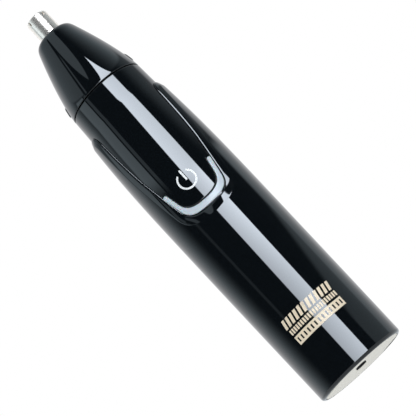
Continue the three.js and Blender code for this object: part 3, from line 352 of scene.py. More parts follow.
def sleeve():
    edge = window_edge()
    tangent = np.gradient(edge, axis=0)
    tangent /= np.linalg.norm(tangent, axis=1, keepdims=True)
    inward = np.stack([tangent[:, 1], -tangent[:, 0]], axis=1)
    inner = edge + inward * ROLL_REACH
    inner[:, 1] = np.minimum(inner[:, 1], SLEEVE_TOP - ROLL_REACH)
    # The columns keep their order round the sleeve, a hundredth of a millimetre apart at least.
    order = np.arange(len(edge)) * 0.01
    inner[:, 0] = np.maximum.accumulate(inner[:, 0] - order) + order
    inner[:, 0] = np.minimum(inner[:, 0], math.pi * GIRTH - 0.01 * np.arange(len(edge))[::-1])
    near = np.array([0, 0.01, 0.03, 0.06, 0.1, 0.15, 0.2, 0.26, 0.33, 0.42, 0.52, 0.64, 0.77, 0.88, 1])
    near = near[None, :, None]
    rolled = edge[:, None] * (1 - near) + inner[:, None] * near
    down = np.linspace(0, 1, 60)[None, 1:]
    plain = np.stack([np.repeat(inner[:, :1], 59, axis=1), inner[:, 1:] * (1 - down) + 1.0 * down], axis=-1)
    flat = np.concatenate([rolled, plain], axis=1)[:, ::-1]
    mirrored = np.vstack([edge[:60][::-1] * [-1, 1], edge[1:]])
    distance, away = nearest_on(mirrored, flat.reshape(-1, 2))
    distance, away = distance.reshape(flat.shape[:2]), away.reshape(flat.shape)
    along_normal = distance < 1e-6
    away[along_normal] = np.repeat(inward[:, None], flat.shape[1], axis=1)[along_normal]
    steep = 1 - np.clip((np.degrees(edge[:, :1] / GIRTH) - 28) / 18, 0, 1)
    steep = steep * steep * (3 - 2 * steep)
    drop, climb = roll(distance, steep)
    angle, z = flat[..., 0] / GIRTH, flat[..., 1]
    radius = sleeve_radius(z)
    taper = (sleeve_radius(z + 0.05) - sleeve_radius(z - 0.05)) / 0.1
    outside = around(angle, radius - drop, z)
    out, side = around(angle, 1.0, 0.0), np.stack([np.cos(angle), np.sin(angle), 0 * angle], axis=-1)
    normals = out - (climb * away[..., 0])[..., None] * side
    normals[..., 2] -= taper + climb * away[..., 1]
    normals /= np.linalg.norm(normals, axis=-1, keepdims=True)
    # The foot's round is below the outside, the wall's thickness and its inner lip are above it.
    foot_round = round_corner((13.9, 0), (15.0, 0), (15.0, 5), 1.0, 8)
    low = np.vstack([[[13.9, 2.0], [13.9, 0.1], [13.95, 0]], foot_round[:-1]])
    foot = around(angle[:, :1], low[None, :, 0], low[None, :, 1])
    lip_flat = np.stack([edge, edge + inward * 0.9], axis=1)
    lip_flat[..., 1] = np.minimum(lip_flat[..., 1], SLEEVE_TOP)
    lip = around(lip_flat[..., 0] / GIRTH, sleeve_radius(lip_flat[..., 1]) - SLEEVE_WALL, lip_flat[..., 1])
    right = np.concatenate([foot, outside, lip], axis=1)
    right_normals = np.concatenate([0 * foot, normals, 0 * lip], axis=1)
    flip = [-1, 1, 1]
    points = np.concatenate([right[::-1][1:-1] * flip, right])
    point_normals = np.concatenate([right_normals[::-1][1:-1] * flip, right_normals])
    faces = grid_faces(len(points), points.shape[1], True)
    return piece("sleeve_shell", points.reshape(-1, 3), faces, "gloss_black", body="barrel",
                 replaces=["outer_sleeve"], normals=point_normals.reshape(-1, 3), sharp=75)


sleeve_piece = sleeve()
print("sleeve:", len(sleeve_piece.data.polygons), "faces")


# %% [markdown]
# ## The barrel and its power tongue
#
# The barrel's skin is open where the light ring and the tongue lie. Both skins share the
# barrel's exact normals.

# %% Barrel
def barrel_normals(points):
    """Outward normals of the barrel's turned form at points on it."""
    z = points[..., 2]
    slope = (barrel_radius(z + 0.05) - barrel_radius(z - 0.05)) / 0.1
    flat = points[..., :2] / np.linalg.norm(points[..., :2], axis=-1, keepdims=True)
    normal = np.concatenate([flat, -slope[..., None]], axis=-1)
    return normal / np.linalg.norm(normal, axis=-1, keepdims=True)


def tongue_side(z):
    return 8.05 + 0.45 * (np.asarray(z, float) - RING_TOP) / (TONGUE_TOP - RING_TOP)


def barrel():
    low = even(RING_OUTER, 0.3)
    low = low[low[:, 1] < RING_TOP - 0.02]
    opening = [(x + 0.12, z) for x, z in low[1:]]
    opening += [(9.57, RING_TOP + 0.1), (tongue_side(RING_TOP), RING_TOP + 0.1001)]
    opening += [(float(tongue_side(z)), z) for z in np.linspace(RING_TOP + 0.4, TONGUE_TOP, 24)]
    opening = np.array(opening)
    panel_angles = np.arcsin(opening[:, 0] / barrel_radius(opening[:, 1]))
    share = np.linspace(0, 1, 97)[:, None]
    angles = panel_angles[None, :] * (1 - share) + (2 * math.pi - panel_angles[None, :]) * share
    panel = around(angles, barrel_radius(opening[:, 1])[None, :], opening[None, :, 1])
    sunk = panel[[0, -1]] * [0.93, 0.93, 1]
    panel = np.concatenate([sunk[:1], panel, sunk[1:]])
    panel_normals = barrel_normals(panel)
    panel_normals[[0, -1]] = 0
    rows = len(opening)
    points, normals = [panel.reshape(-1, 3)], [panel_normals.reshape(-1, 3)]
    faces = grid_faces(len(panel), rows, False)
    # The full turn above the tongue's root, the shoulder and the neck.
    band_z = np.linspace(SLEEVE_TOP, SHOULDER - 0.25, 8)
    collar_z = np.concatenate([np.linspace(TONGUE_TOP, SLEEVE_TOP, 30), band_z[1:]])
    collar = np.stack([barrel_radius(collar_z), collar_z], axis=1)
    shoulder = rounded([collar[-1], (SHOULDER_RADIUS, SHOULDER), (10.2, SHOULDER), (10.2, 114.9), (9.45, 114.9),
                        (9.45, 116.3), (10.2, 116.3), (10.2, 117.8), (3.0, 117.8), (3.0, 117.2)],
                       [0, 0.22, 0, 0, 0, 0, 0, 0.3, 0, 0])
    profile = np.vstack([collar, shoulder[1:]])
    count = 192
    top = lathe(profile, full_turn(count))
    top_normals = np.zeros_like(top)
    top_normals[:, : len(collar)] = barrel_normals(top[:, : len(collar)])
    faces += grid_faces(count, len(profile), True, offset=len(points[0]))
    points.append(top.reshape(-1, 3))
    normals.append(top_normals.reshape(-1, 3))
    # A bed below the ring and the tongue, which closes the view into the barrel.
    bed_z = np.linspace(2.4, TONGUE_TOP + 2, 40)
    bed = lathe(np.stack([barrel_radius(bed_z) - 1.45, bed_z], axis=1), full_turn(96))
    faces += grid_faces(96, 40, True, offset=sum(map(len, points)))
    points.append(bed.reshape(-1, 3))
    normals.append(np.zeros((96 * 40, 3)))
    return piece("barrel_shell", np.vstack(points), faces, "gloss_black", body="barrel", replaces=["core_barrel"],
                 normals=np.vstack(normals), sharp=40)


barrel_piece = barrel()
print("barrel:", len(barrel_piece.data.polygons), "faces")


# %% Power tongue
def tongue():
    low = even(RING_INNER, 0.25)
    inward = np.stack([-np.gradient(low[:, 1]), np.gradient(low[:, 0])], axis=1)
    low = low + 0.10 * inward / np.linalg.norm(inward, axis=1, keepdims=True)
    low[0, 0] = 0
    low[-1] = (float(tongue_side(RING_TOP)), RING_TOP)
    # Columns join the rim's lower part to the root; the sides are the outermost columns.
    near = np.array([0, 0.04, 0.09, 0.15, 0.22, 0.3, 0.4, 0.5, 0.65])
    column_foot = np.vstack([low[::-1] * [-1, 1], low[1:]])
    share_x = column_foot[:, 0] / low[-1, 0]
    column_top = np.stack([share_x * float(tongue_side(TONGUE_TOP)), np.full(len(share_x), TONGUE_TOP)], axis=1)
    length = column_top[:, 1] - column_foot[:, 1]
    slope = np.abs(np.gradient(column_foot[:, 1], column_foot[:, 0]))
    lean = np.minimum(np.sqrt(1 + slope**2), 6)
    first = near[None, :] * lean[:, None] / length[:, None]
    rest = first[:, -1:] + (1 - first[:, -1:]) * np.linspace(0, 1, 50)[None, 1:]
    share = np.hstack([first, rest])[..., None]
    flat = column_foot[:, None, :] * (1 - share) + column_top[:, None, :] * share
    distance = np.sqrt(((flat[:, :, None, :] - column_foot[None, None]) ** 2).sum(-1)).min(-1)
    below_ring_top = np.clip((RING_TOP + 0.6 - flat[..., 1]) / 0.6, 0, 1)
    round_radius = 0.45
    inside = np.clip(round_radius - distance, 0, round_radius)
    drop = (round_radius - np.sqrt(np.maximum(round_radius**2 - inside**2, 0))) * below_ring_top
    radius = barrel_radius(flat[..., 1]) - drop
    y = -np.sqrt(np.maximum(radius**2 - flat[..., 0] ** 2, 0))
    top = np.stack([flat[..., 0], y, flat[..., 1]], axis=-1)
    deep = top[:, :1] * [0.925, 0.925, 1]
    grid = np.concatenate([deep, top], axis=1)
    normals = barrel_normals(grid)
    normals[:, 1:][drop > 1e-6] = 0
    normals[:, 0] = 0
    left_wall, right_wall = grid[:1] * [0.925, 0.925, 1], grid[-1:] * [0.925, 0.925, 1]
    full = np.concatenate([left_wall, grid, right_wall])
    full_normals = np.concatenate([np.zeros_like(left_wall), normals, np.zeros_like(right_wall)])
    obj = piece("tongue_skin", full.reshape(-1, 3), grid_faces(len(full), full.shape[1], False), "gloss_black",
                replaces=["power_tongue"], normals=full_normals.reshape(-1, 3), sharp=50)
    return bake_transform(obj)


tongue_piece = tongue()
print("tongue:", len(tongue_piece.data.polygons), "faces")


# %% [markdown]
# ## The light ring
#
# The ring is swept along the space between its two outlines. Its section is a low pillow that
# stands a quarter of a millimetre proud, and its two ends are squared off with small rounds.

# %% Light ring
def light_ring():
    count = 120
    outer = even(RING_OUTER, 0.05)
    inner = even(RING_INNER, 0.05)
    outer, inner = (line[np.round(np.linspace(0, len(line) - 1, count)).astype(int)] for line in (outer, inner))
    outer = np.vstack([outer[::-1] * [-1, 1], outer[1:]])
    inner = np.vstack([inner[::-1] * [-1, 1], inner[1:]])
    middle, half = (outer + inner) / 2, (outer - inner) / 2
    run = np.concatenate([[0], np.cumsum(np.hypot(*np.diff(middle, axis=0).T))])
    to_end = np.minimum(run, run[-1] - run)
    corner = 0.5
    half_width = np.hypot(*half.T)
    short = np.clip(corner - to_end, 0, corner)
    width = half_width - corner + np.sqrt(np.maximum(corner**2 - short**2, 0))
    half = half * (width / half_width)[:, None]
    across = np.sin(np.linspace(-1, 1, 15) * math.pi / 2)
    flat = middle[:, None, :] + half[:, None, :] * across[None, :, None]
    edge_distance = (1 - np.abs(across))[None, :] * width[:, None]
    edge_distance = np.minimum(edge_distance, to_end[:, None])
    soft = 0.35
    inside = np.clip(soft - edge_distance, 0, soft)
    height = 0.25 - (soft - np.sqrt(np.maximum(soft**2 - inside**2, 0))) * 0.8
    radius = barrel_radius(flat[..., 1]) + height
    y = -np.sqrt(radius**2 - flat[..., 0] ** 2)
    top = np.stack([flat[..., 0], y, flat[..., 1]], axis=-1)
    low = top[:, [0, -1]] * [0.91, 0.91, 1]
    grid = np.concatenate([low[:, :1], top, low[:, 1:]], axis=1)
    grid = np.concatenate([grid[:1] * [0.91, 0.91, 1], grid, grid[-1:] * [0.91, 0.91, 1]])
    faces = [face[::-1] for face in grid_faces(len(grid), grid.shape[1], False)]
    return piece("ring_lens", grid.reshape(-1, 3), faces, "ice_light", body="barrel", replaces=["light_ring"],
                 sharp=50)


ring_piece = light_ring()
print("light ring:", len(ring_piece.data.polygons), "faces")


# %% [markdown]
# ## The pull-off head
#
# The cone is turned, with its nose rounded over towards the cutter tube, and carries two small
# grip ribs, one at each side. The ribs are a smooth swelling of the turned form.

# %% Head
def rib_swell(angle, z, radius):
    """How far the grip ribs stand out of the cone."""
    across = np.abs(np.abs(angle) - math.pi / 2) * radius
    along = np.abs(z - HEAD_FOOT - 4.0)
    reach = np.hypot(np.maximum(across - 0.35, 0), np.maximum(along - 1.1, 0))
    return 0.3 * np.clip((0.62 - reach) / 0.35, 0, 1) ** 0.6


def head():
    side = np.linspace(HEAD_FOOT + 0.2, NOSE_START, 120)
    outside = np.stack([head_radius(side), side], axis=1)
    foot = round_corner((12.0, HEAD_FOOT), (SHOULDER_RADIUS - 0.005, HEAD_FOOT),
                        (SHOULDER_RADIUS - 0.03, HEAD_FOOT + 2), 0.2, 6)
    nose = cubic((7.55, NOSE_START), (6.795, NOSE_START + 2.25), (6.55, HEAD_TOP), (4.15, HEAD_TOP), 24)[1:]
    inside = [(3.85, HEAD_TOP - 0.15), (3.85, 133.4), (6.0, 132.4), (9.0, 124.4), (10.5, 118.4), (10.5, HEAD_FOOT)]
    profile = np.vstack([foot, outside[1:], nose, inside, foot[:1]])
    grip = np.radians(np.linspace(-5, 5, 41))
    between = np.radians(np.linspace(5, 175, 96))[1:-1]
    angles = np.concatenate([grip, between, math.pi + grip, math.pi + between]) - math.pi / 2
    angles = (angles + math.pi) % (2 * math.pi) - math.pi
    grid = lathe(profile, angles)
    outer_rows = slice(0, len(foot) + len(outside) - 1)
    rows = profile[outer_rows]
    swell = rib_swell(angles[:, None], rows[None, :, 1], rows[None, :, 0])
    grid[:, outer_rows, :2] *= (1 + swell / rows[None, :, 0])[..., None]
    return piece("head_shell", grid.reshape(-1, 3), grid_faces(len(angles), len(profile), True), "gloss_black",
                 body="head", replaces=["head_cone"], sharp=50)


head_piece = head()
print("head:", len(head_piece.data.polygons), "faces")


# %% [markdown]
# ## The cutters
#
# The outer cutter is a polished tube with a slotted end. It is turned with a small round on its top edge, then four
# bars cut its slots. The inner cutter turns inside it.

# %% Cutters
def cut_with(obj, bars):
    """Cuts boxes (low corner, high corner, turn about Z in degrees) from a piece."""
    for low, high, turn in bars:
        sides = [(low[i], high[i]) for i in range(3)]
        corners = np.array([[x, y, z] for x in sides[0] for y in sides[1] for z in sides[2]])
        a = math.radians(turn)
        corners = corners @ np.array([[math.cos(a), math.sin(a), 0], [-math.sin(a), math.cos(a), 0], [0, 0, 1]])
        mesh = bpy.data.meshes.new("bar")
        faces = [(0, 1, 3, 2), (4, 6, 7, 5), (0, 4, 5, 1), (2, 3, 7, 6), (0, 2, 6, 4), (1, 5, 7, 3)]
        mesh.from_pydata((corners * MM).tolist(), [], faces)
        bar = bpy.data.objects.new("bar", mesh)
        bpy.context.scene.collection.objects.link(bar)
        cut = obj.modifiers.new("cut", "BOOLEAN")
        cut.operation, cut.solver, cut.object = "DIFFERENCE", "EXACT", bar
        bpy.context.view_layer.update()
        result = bpy.data.meshes.new_from_object(obj.evaluated_get(bpy.context.evaluated_depsgraph_get()))
        obj.modifiers.clear()
        obj.data = result
        bpy.data.objects.remove(bar)
    obj.data.shade_smooth()
    obj.data.set_sharp_from_angle(angle=math.radians(35))
    return obj


def solid_of_turn(name, profile, slot, count=96):
    """A closed turned body whose profile starts and ends on the axis."""
    profile = np.asarray(profile, float)
    ring = lathe(profile[1:-1], full_turn(count)).reshape(-1, 3)
    rows = len(profile) - 2
    points = np.vstack([ring, [[0, 0, profile[0, 1]], [0, 0, profile[-1, 1]]]])
    faces = grid_faces(count, rows, True)
    for i in range(count):
        after = (i + 1) % count
        faces.append((count * rows, after * rows, i * rows))
        faces.append((i * rows + rows - 1, after * rows + rows - 1, count * rows + 1))
    return piece(name, points, faces, slot)


def outer_cutter():
    wall = TUBE_RADIUS - 0.4
    profile = rounded([(0, TUBE_TOP - 0.4), (wall, TUBE_TOP - 0.4), (wall, 133.8), (5.1, 133.8), (5.1, 134.7),
                       (TUBE_RADIUS, 134.7), (TUBE_RADIUS, TUBE_TOP), (0, TUBE_TOP)],
                      [0, 0, 0, 0, 0, 0, 0.35, 0], 8)
    tube = solid_of_turn("cutter_tube", profile, "steel")
    bars = [((-0.3, 1.3, TUBE_TOP - 1.7), (0.3, TUBE_RADIUS + 1, TUBE_TOP + 1), 45 + 90 * k) for k in range(4)]
    cut_with(tube, bars)
    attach(tube, "head")
    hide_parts("outer_cutter")
    return tube


def inner_cutter():
    profile = [(0, 144.4), (2.55, 144.4), (2.55, 134.7), (3.15, 134.7), (3.15, 145.0), (0, 145.0)]
    blade = solid_of_turn("cutter_blade", profile, "steel", count=64)
    bars = [((-0.9, -4, 142.0), (0.9, 4, 146), turn) for turn in (0, 90)]
    cut_with(blade, bars)
    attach(blade, "cutter")
    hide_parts("inner_cutter")
    return blade


tube_piece, blade_piece = outer_cutter(), inner_cutter()
print("cutters:", len(tube_piece.data.polygons), "and", len(blade_piece.data.polygons), "faces")


# %% [markdown]
# ## The end cap and the charging port
#
# The port is a slot with round ends, offset towards the front. The cap is a flat face between
# the slot's outline and its own rim, and the metal shell lines the slot.

# %% End cap
PORT_MIDDLE = -4.6


def stadium(length, width, count=24):
    """A slot's outline, long along Y, as (x, y) points, seen from above and turning left."""
    straight = (length - width) / 2
    turn = np.linspace(0, math.pi, count)
    far = np.stack([np.cos(turn) * width / 2, np.sin(turn) * width / 2 + straight], axis=1)
    return np.vstack([far, -far]) + [0, PORT_MIDDLE]


def loops_piece(name, loops, slot, body, replaces, sharp=40, mat=None):
    """A skin through closed loops with equal point counts, each loop a list of (x, y, z)."""
    loops = np.asarray(loops, float)
    points = loops.transpose(1, 0, 2)
    return piece(name, points.reshape(-1, 3), grid_faces(points.shape[0], points.shape[1], True), slot, body=body,
                 replaces=replaces, sharp=sharp, mat=mat)


def at_height(outline, z):
    return np.column_stack([outline, np.full(len(outline), z)])


def end_cap():
    port = stadium(9.34, 3.66)
    # The rim has one point for each point of the slot, in the same direction from the slot's middle.
    away = port - [0, PORT_MIDDLE]
    count = len(port)
    turn = np.unwrap(np.arctan2(away[:, 1], away[:, 0]))
    spread = np.linspace(turn[0], turn[0] + 2 * math.pi, count, endpoint=False)
    turn = 0.35 * turn + 0.65 * spread
    rim = np.stack([np.cos(turn), np.sin(turn)], axis=1)
    mouth = away * [1.05, 1.02] + [0, PORT_MIDDLE]
    loops = [at_height(port, 1.7), at_height(port, 0.12), at_height(mouth, 0.0)]
    for share in np.linspace(0, 1, 10)[1:]:
        loops.append(at_height(mouth * (1 - share) + rim * 13.5 * share, 0.0))
    for radius, z in [(13.65, 0.03), (13.73, 0.1), (13.75, 0.25), (13.75, 1.7), (12.2, 1.7)]:
        loops.append(at_height(rim * radius, z))
    return loops_piece("cap_face", loops, "silver_satin", "barrel", ["end_cap"])


def socket():
    outer, inner = stadium(8.94, 3.26), stadium(8.34, 2.66)
    loops = [at_height(inner, 5.2), at_height(inner, 0.7), at_height(inner * [1.01, 1], 0.6), at_height(outer, 0.6),
             at_height(outer, 5.2)]
    return loops_piece("port_shell", loops, "silver_satin", "barrel", ["socket_shell"])


# Painted shade: the black ledge and the black lining and floor inside the port stand in for the shade in the port's
# depth and in the gap round the shell.
def painted_port_shade():
    """A black ledge over the port's mouth and a black lining and floor that close inside the metal shell: painted
    shade for the gap round the shell and the port's depth.
    """
    mouth, wall, far = stadium(9.30, 3.62), stadium(8.30, 2.62), stadium(0.9, 0.2)
    loops = [at_height(far, 3.4), at_height(wall, 3.4), at_height(wall, 0.5), at_height(mouth, 0.5),
             at_height(mouth, 0.1)]
    return loops_piece("port_shade_sheet", loops, "black_plastic", "barrel", [])


cap_piece, socket_piece, port_shade_piece = end_cap(), socket(), painted_port_shade()
for end_piece in (cap_piece, socket_piece, port_shade_piece):
    print(end_piece.name, len(end_piece.data.polygons), "faces")


# %% [markdown]
# ## Printed marks
#
# The power symbol is printed on the tongue: a ring with a gap and a bar. The panel on the sleeve
# is a plain printed block with a row of dark bars on it, and two rows of bars above it. The bars
# of a row are one bar that Geometry Nodes repeats at even angles round the sleeve.

# %% Power symbol
def on_surface(flat, radius_of, lift):
    """Wraps front view points (x, z) onto a turned form."""
    radius = radius_of(flat[..., 1]) + lift
    return np.stack([flat[..., 0], -np.sqrt(radius**2 - flat[..., 0] ** 2), flat[..., 1]], axis=-1)


def band(line_a, line_b, rows=7):
    share = np.linspace(0, 1, rows)[None, :, None]
    return line_a[:, None, :] * (1 - share) + line_b[:, None, :] * share


def power_symbol():
    lift = 0.02
    middle = np.array([-0.3, 72.3])
    stroke, radius = 0.28, 2.8
    bar_low, bar_high = 72.1, 75.75
    gap = math.radians(31)
    turn = np.linspace(math.pi / 2 + gap, math.pi / 2 + 2 * math.pi - gap, 120)
    arc = np.stack([np.cos(turn), np.sin(turn)], axis=1)
    ends = np.minimum(np.arange(120), np.arange(120)[::-1]) * radius * (turn[1] - turn[0])
    width = np.sqrt(np.clip(1 - (1 - np.clip(ends / stroke, 0, 1)) ** 2, 0.02, 1)) * stroke
    ring = band(middle + arc * (radius + width)[:, None], middle + arc * (radius - width)[:, None])
    height = np.linspace(bar_low, bar_high, 50)
    ends = np.minimum(height - height[0], height[-1] - height)
    width = np.sqrt(np.clip(1 - (1 - np.clip(ends / stroke, 0, 1)) ** 2, 0.02, 1)) * (stroke + 0.02)
    bar = band(np.stack([middle[0] + width, height], axis=1), np.stack([middle[0] - width, height], axis=1))
    points = np.vstack([on_surface(g, barrel_radius, lift).reshape(-1, 3) for g in (ring, bar)])
    faces = grid_faces(120, 7, False) + grid_faces(50, 7, False, offset=120 * 7)
    obj = piece("power_symbol", points, faces, "ice_light", body="button", mat=PRINT_WHITE_GLOW)
    outward = np.array([p.normal[:] for p in obj.data.polygons])[:, 1].mean()
    if outward > 0:
        obj.data.flip_normals()
    return obj


symbol_piece = power_symbol()
print("power symbol:", len(symbol_piece.data.polygons), "faces")


# %% Printed panel
def printed_block(low, high, half_angle, name):
    angle = np.radians(np.linspace(-half_angle, half_angle, 60))
    z = np.linspace(low, high, 12)
    grid = around(angle[:, None], sleeve_radius(z)[None, :] + 0.012, z[None, :])
    return piece(name, grid.reshape(-1, 3), grid_faces(60, 12, False), "silver_satin", body="barrel",
                 mat=PRINT_CREAM)


def repeated_bars(name, low, high, half_angle, count, width, lean, ink=PRINT_CREAM, lift=0.012):
    """One printed bar, repeated round the sleeve by Geometry Nodes."""
    z = np.linspace(low, high, 8)
    x = np.linspace(-width / 2, width / 2, 5)
    offset = lean * (z - (low + high) / 2)
    angle = (x[:, None] + offset[None, :]) / 15.2
    grid = around(angle, sleeve_radius(z)[None, :] + lift, z[None, :])
    bar = piece(name, grid.reshape(-1, 3), grid_faces(5, 8, False), "silver_satin", mat=ink)
    group = bpy.data.node_groups.new(name + "_repeat", "GeometryNodeTree")
    group.interface.new_socket("Geometry", in_out="INPUT", socket_type="NodeSocketGeometry")
    for label, kind in (("Count", "NodeSocketInt"), ("Step angle", "NodeSocketFloat"),
                        ("Start angle", "NodeSocketFloat"), ("Material", "NodeSocketMaterial")):
        group.interface.new_socket(label, in_out="INPUT", socket_type=kind)
    group.interface.new_socket("Geometry", in_out="OUTPUT", socket_type="NodeSocketGeometry")
    n, link = group.nodes, group.links.new
    entry, leave = n.new("NodeGroupInput"), n.new("NodeGroupOutput")
    line = n.new("GeometryNodeMeshLine")
    line.inputs["Offset"].default_value = (0, 0, 0)
    index = n.new("GeometryNodeInputIndex")
    turn = n.new("ShaderNodeMath")
    turn.operation = "MULTIPLY_ADD"
    spin = n.new("ShaderNodeCombineXYZ")
    copy = n.new("GeometryNodeInstanceOnPoints")
    real = n.new("GeometryNodeRealizeInstances")
    paint = n.new("GeometryNodeSetMaterial")
    link(entry.outputs["Count"], line.inputs["Count"])
    link(index.outputs["Index"], turn.inputs[0])
    link(entry.outputs["Step angle"], turn.inputs[1])
    link(entry.outputs["Start angle"], turn.inputs[2])
    link(turn.outputs["Value"], spin.inputs["Z"])
    link(line.outputs["Mesh"], copy.inputs["Points"])
    link(entry.outputs["Geometry"], copy.inputs["Instance"])
    link(spin.outputs["Vector"], copy.inputs["Rotation"])
    link(copy.outputs["Instances"], real.inputs["Geometry"])
    link(real.outputs["Geometry"], paint.inputs["Geometry"])
    link(entry.outputs["Material"], paint.inputs["Material"])
    link(paint.outputs["Geometry"], leave.inputs["Geometry"])
    step = math.radians(2 * half_angle) / (count - 1)
    repeat = bar.modifiers.new("repeat", "NODES")
    repeat.node_group = group
    ids = {item.name: item.identifier for item in group.interface.items_tree if item.in_out == "INPUT"}
    repeat[ids["Count"]] = count
    repeat[ids["Step angle"]] = step
    repeat[ids["Start angle"]] = -math.radians(half_angle)
    repeat[ids["Material"]] = ink
    bpy.context.view_layer.update()
    bar.data = bpy.data.meshes.new_from_object(bar.evaluated_get(bpy.context.evaluated_depsgraph_get()))
    bar.modifiers.clear()
    bar.data.shade_smooth()
    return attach(bar, "barrel")


printed_block(14.9, 17.7, 35.0, "panel_block")
repeated_bars("panel_gaps", 15.6, 17.05, 31.5, 13, 0.5, 0.0, ink=MATERIALS["gloss_black"], lift=0.02)
repeated_bars("panel_dashes", 18.4, 20.0, 33.5, 20, 0.62, 0.0)
repeated_bars("panel_bars", 20.6, 23.5, 33.0, 12, 1.0, 0.22)
print("printed marks made")

# %% [markdown]
# ## Light and floor
#
# A gloss black form is drawn by what it reflects. The studio is painted into the world by
# direction: one tall soft strip a little to the right of the camera, bright walls at the sides
# and behind, and darkness in front. Azimuth counts from the front (-Y) towards the right (+X).

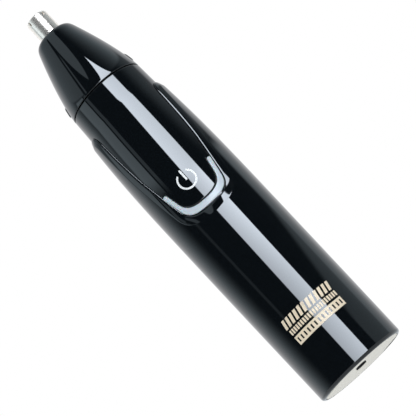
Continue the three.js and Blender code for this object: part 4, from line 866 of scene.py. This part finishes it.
# %% World
def build_world():
    world = bpy.data.worlds.new("studio")
    bpy.context.scene.world = world
    world.use_nodes = True
    nodes, links = world.node_tree.nodes, world.node_tree.links
    nodes.clear()

    def math_node(operation, a, b=None, clamp=False):
        node = nodes.new("ShaderNodeMath")
        node.operation = operation
        node.use_clamp = clamp
        for socket, value in zip(node.inputs, (a, b)):
            if value is None:
                continue
            if isinstance(value, (int, float)):
                socket.default_value = value
            else:
                links.new(value, socket)
        return node.outputs[0]

    def ramp(value, start, end):
        """0 below start, 1 above end, smooth between; start above end falls instead."""
        node = nodes.new("ShaderNodeMapRange")
        node.interpolation_type = "SMOOTHSTEP"
        node.inputs["From Min"].default_value = min(start, end)
        node.inputs["From Max"].default_value = max(start, end)
        node.inputs["To Min"].default_value = 0 if start < end else 1
        node.inputs["To Max"].default_value = 1 if start < end else 0
        links.new(value, node.inputs["Value"])
        return node.outputs["Result"]

    direction = nodes.new("ShaderNodeTexCoord")
    split = nodes.new("ShaderNodeSeparateXYZ")
    links.new(direction.outputs["Generated"], split.inputs[0])
    x, y, z = split.outputs
    azimuth = math_node("MULTIPLY", math_node("ARCTAN2", x, math_node("MULTIPLY", y, -1.0)), 57.29578)
    elevation = math_node("MULTIPLY", math_node("ARCSINE", z), 57.29578)

    def times(*values):
        result = values[0]
        for value in values[1:]:
            result = math_node("MULTIPLY", result, value)
        return result

    def patch(strength, *bounds):
        """A soft-edged patch; each bound is (azimuth's share, elevation's share, from, to)."""
        masks = []
        for share_a, share_e, start, end in bounds:
            value = math_node("ADD", times(azimuth, float(share_a)), times(elevation, float(share_e)))
            masks.append(ramp(value, start, end))
        return times(*masks, strength)

    # Angles are in degrees. First the left, then the triangle overhead, then the right.
    patches = [
        patch(1.15, (1, 0, -74, -128)),
        patch(1.5, (1, 0, -96, -88), (1, 0, -59.5, -61.5), (0, 1, 14.5, 17), (0, 1, 30, 27)),
        patch(0.6, (1, 0, -57, -55.5), (1, 0, -47, -49), (0, 1, 14.5, 17), (0, 1, 30, 27)),
        patch(0.8, (1, 0, -49, -53), (0, 1, 28, 31)),
        patch(0.7, (1, 0, -45, -43.5), (1, 0, -38.5, -40), (0, 1, 27, 30), (0, 1, 53, 49)),
        patch(0.25, (1, 0, -59, -56.5), (1, 0, -50, -53), (0, 1, 6, 8), (0, 1, 14, 12)),
        patch(0.95, (0.692, 1, 28.8, 30.4), (-0.667, 1, 44.0, 45.6)),
        patch(0.55, (1, 0, 56, 60), (-0.1167, 1, 0.1, -1.7)),
        patch(1.1, (1, 0, 60, 150), (-0.1167, 1, 0.1, -1.7)),
        patch(0.35, (1, 0, 62, 100), (0, 1, 14, 18)),
        patch(1.0, (1, 0, 100, 112), (0, 1, 16, 14.5)),
        patch(1.0, (1, 0, 118, 134)),
        patch(1.0, (1, 0, 36, 125), (0, 1, 27, 31)),
    ]
    walls = patches[0]
    for part in patches[1:]:
        walls = math_node("MAXIMUM", walls, part)
    from_front = math_node("ABSOLUTE", azimuth)
    behind = math_node("SUBTRACT", 1.0, times(ramp(from_front, 135, 175), 0.22))
    above = math_node("SUBTRACT", 1.0, times(ramp(elevation, 34, 60), ramp(from_front, 70, 120), 0.2))
    walls = times(walls, behind, above)
    left_side = math_node("ADD", azimuth, times(elevation, -0.85))
    right_side = math_node("ADD", azimuth, times(elevation, -0.78))
    strip = times(ramp(left_side, -10.4, -8.8), ramp(right_side, 29.8, 28.4), ramp(elevation, -12, -4),
                  patch(1.0, (1, 0.865, 74.0, 72.4), (1, -1.28, -27.3, -25.7)))
    across = math_node("SUBTRACT", math_node("DIVIDE", math_node("ADD", left_side, 9.5), 38.5), 0.5)
    turn_over = math_node("SUBTRACT", 0.4, times(ramp(elevation, 14, 16), 0.6))
    low_down = math_node("SUBTRACT", 1.0, times(ramp(elevation, 12.5, 7.5), 0.22))
    strip = times(strip, low_down, math_node("ADD", 1.0, times(across, turn_over)))

    path = nodes.new("ShaderNodeLightPath")
    strip_power = math_node("ADD", 3.2, times(path.outputs["Is Glossy Ray"], 13.3))
    wall_light = nodes.new("ShaderNodeBackground")
    wall_tint = nodes.new("ShaderNodeMix")
    wall_tint.data_type = "RGBA"
    wall_tint.inputs["A"].default_value = (0.74, 0.89, 0.97, 1)
    wall_tint.inputs["B"].default_value = (0.98, 0.98, 1.0, 1)
    links.new(ramp(from_front, 95, 150), wall_tint.inputs["Factor"])
    links.new(wall_tint.outputs["Result"], wall_light.inputs["Color"])
    links.new(walls, wall_light.inputs["Strength"])
    gloom = nodes.new("ShaderNodeBackground")
    gloom.inputs["Color"].default_value = (0.75, 0.9, 1.0, 1)
    gloom.inputs["Strength"].default_value = 0.055
    strip_light = nodes.new("ShaderNodeBackground")
    strip_light.inputs["Color"].default_value = (0.82, 0.90, 1.0, 1)
    links.new(times(strip, strip_power), strip_light.inputs["Strength"])
    room, both = nodes.new("ShaderNodeAddShader"), nodes.new("ShaderNodeAddShader")
    links.new(wall_light.outputs[0], room.inputs[0])
    links.new(gloom.outputs[0], room.inputs[1])
    links.new(room.outputs[0], both.inputs[0])
    links.new(strip_light.outputs[0], both.inputs[1])
    paper = nodes.new("ShaderNodeBackground")
    paper.inputs["Strength"].default_value = 1.0
    paper.inputs["Color"].default_value = (1, 1, 1, 1)
    choose = nodes.new("ShaderNodeMixShader")
    links.new(path.outputs["Is Camera Ray"], choose.inputs[0])
    links.new(both.outputs[0], choose.inputs[1])
    links.new(paper.outputs[0], choose.inputs[2])
    out = nodes.new("ShaderNodeOutputWorld")
    links.new(choose.outputs[0], out.inputs["Surface"])


build_world()
print("studio world painted")


# %% Floor
FLOOR_HEIGHT = -0.30
floor_mesh = bpy.data.meshes.new("floor")
reach = 12.0
floor_mesh.from_pydata([(-reach, -reach, FLOOR_HEIGHT), (reach, -reach, FLOOR_HEIGHT), (reach, reach, FLOOR_HEIGHT),
                        (-reach, reach, FLOOR_HEIGHT)], [], [(0, 1, 2, 3)])
floor = bpy.data.objects.new("floor", floor_mesh)
bpy.context.scene.collection.objects.link(floor)
floor_mesh.materials.append(material("floor_paper", (0.86, 0.86, 0.86), 0.9, grain=0.01, grain_scale=2,
                                     emission=(1, 1, 1), emission_strength=0.25))
print("floor", FLOOR_HEIGHT, "m")

# %% [markdown]
# ## Camera
#
# The camera looks up a little at the standing trimmer and is rolled, so that the trimmer lies
# along the frame's diagonal.

# %% Camera
LENS = 138.2
PITCH = math.radians(13.1)
YAW = math.radians(1.3)
ROLL = math.radians(43.09)
DISTANCE = 0.460
HEIGHT = -0.0427
SHIFT_LEFT = 0.00118
SHIFT_UP = 0.00072
right0 = Vector((math.cos(YAW), -math.sin(YAW), 0))
up0 = Vector((-math.sin(PITCH) * math.sin(YAW), -math.sin(PITCH) * math.cos(YAW), math.cos(PITCH)))
forward = Vector((math.sin(YAW) * math.cos(PITCH), math.cos(YAW) * math.cos(PITCH), math.sin(PITCH)))
camera_right = math.cos(ROLL) * right0 - math.sin(ROLL) * up0
camera_up = math.sin(ROLL) * right0 + math.cos(ROLL) * up0
position = Vector((-DISTANCE * math.sin(YAW), -DISTANCE * math.cos(YAW), HEIGHT))
position = position - right0 * SHIFT_LEFT + up0 * SHIFT_UP
camera_data = bpy.data.cameras.new("camera")
camera_data.lens = LENS
camera_data.sensor_width = 36.0
camera_data.clip_start = 0.01
camera = bpy.data.objects.new("camera", camera_data)
bpy.context.scene.collection.objects.link(camera)
camera.matrix_world = Matrix((
    (camera_right.x, camera_up.x, -forward.x, position.x),
    (camera_right.y, camera_up.y, -forward.y, position.y),
    (camera_right.z, camera_up.z, -forward.z, position.z),
    (0, 0, 0, 1),
))
bpy.context.scene.camera = camera
bpy.context.scene.view_settings.view_transform = "Standard"
bpy.context.scene.view_settings.look = "None"
print("camera at", [round(v, 4) for v in position])
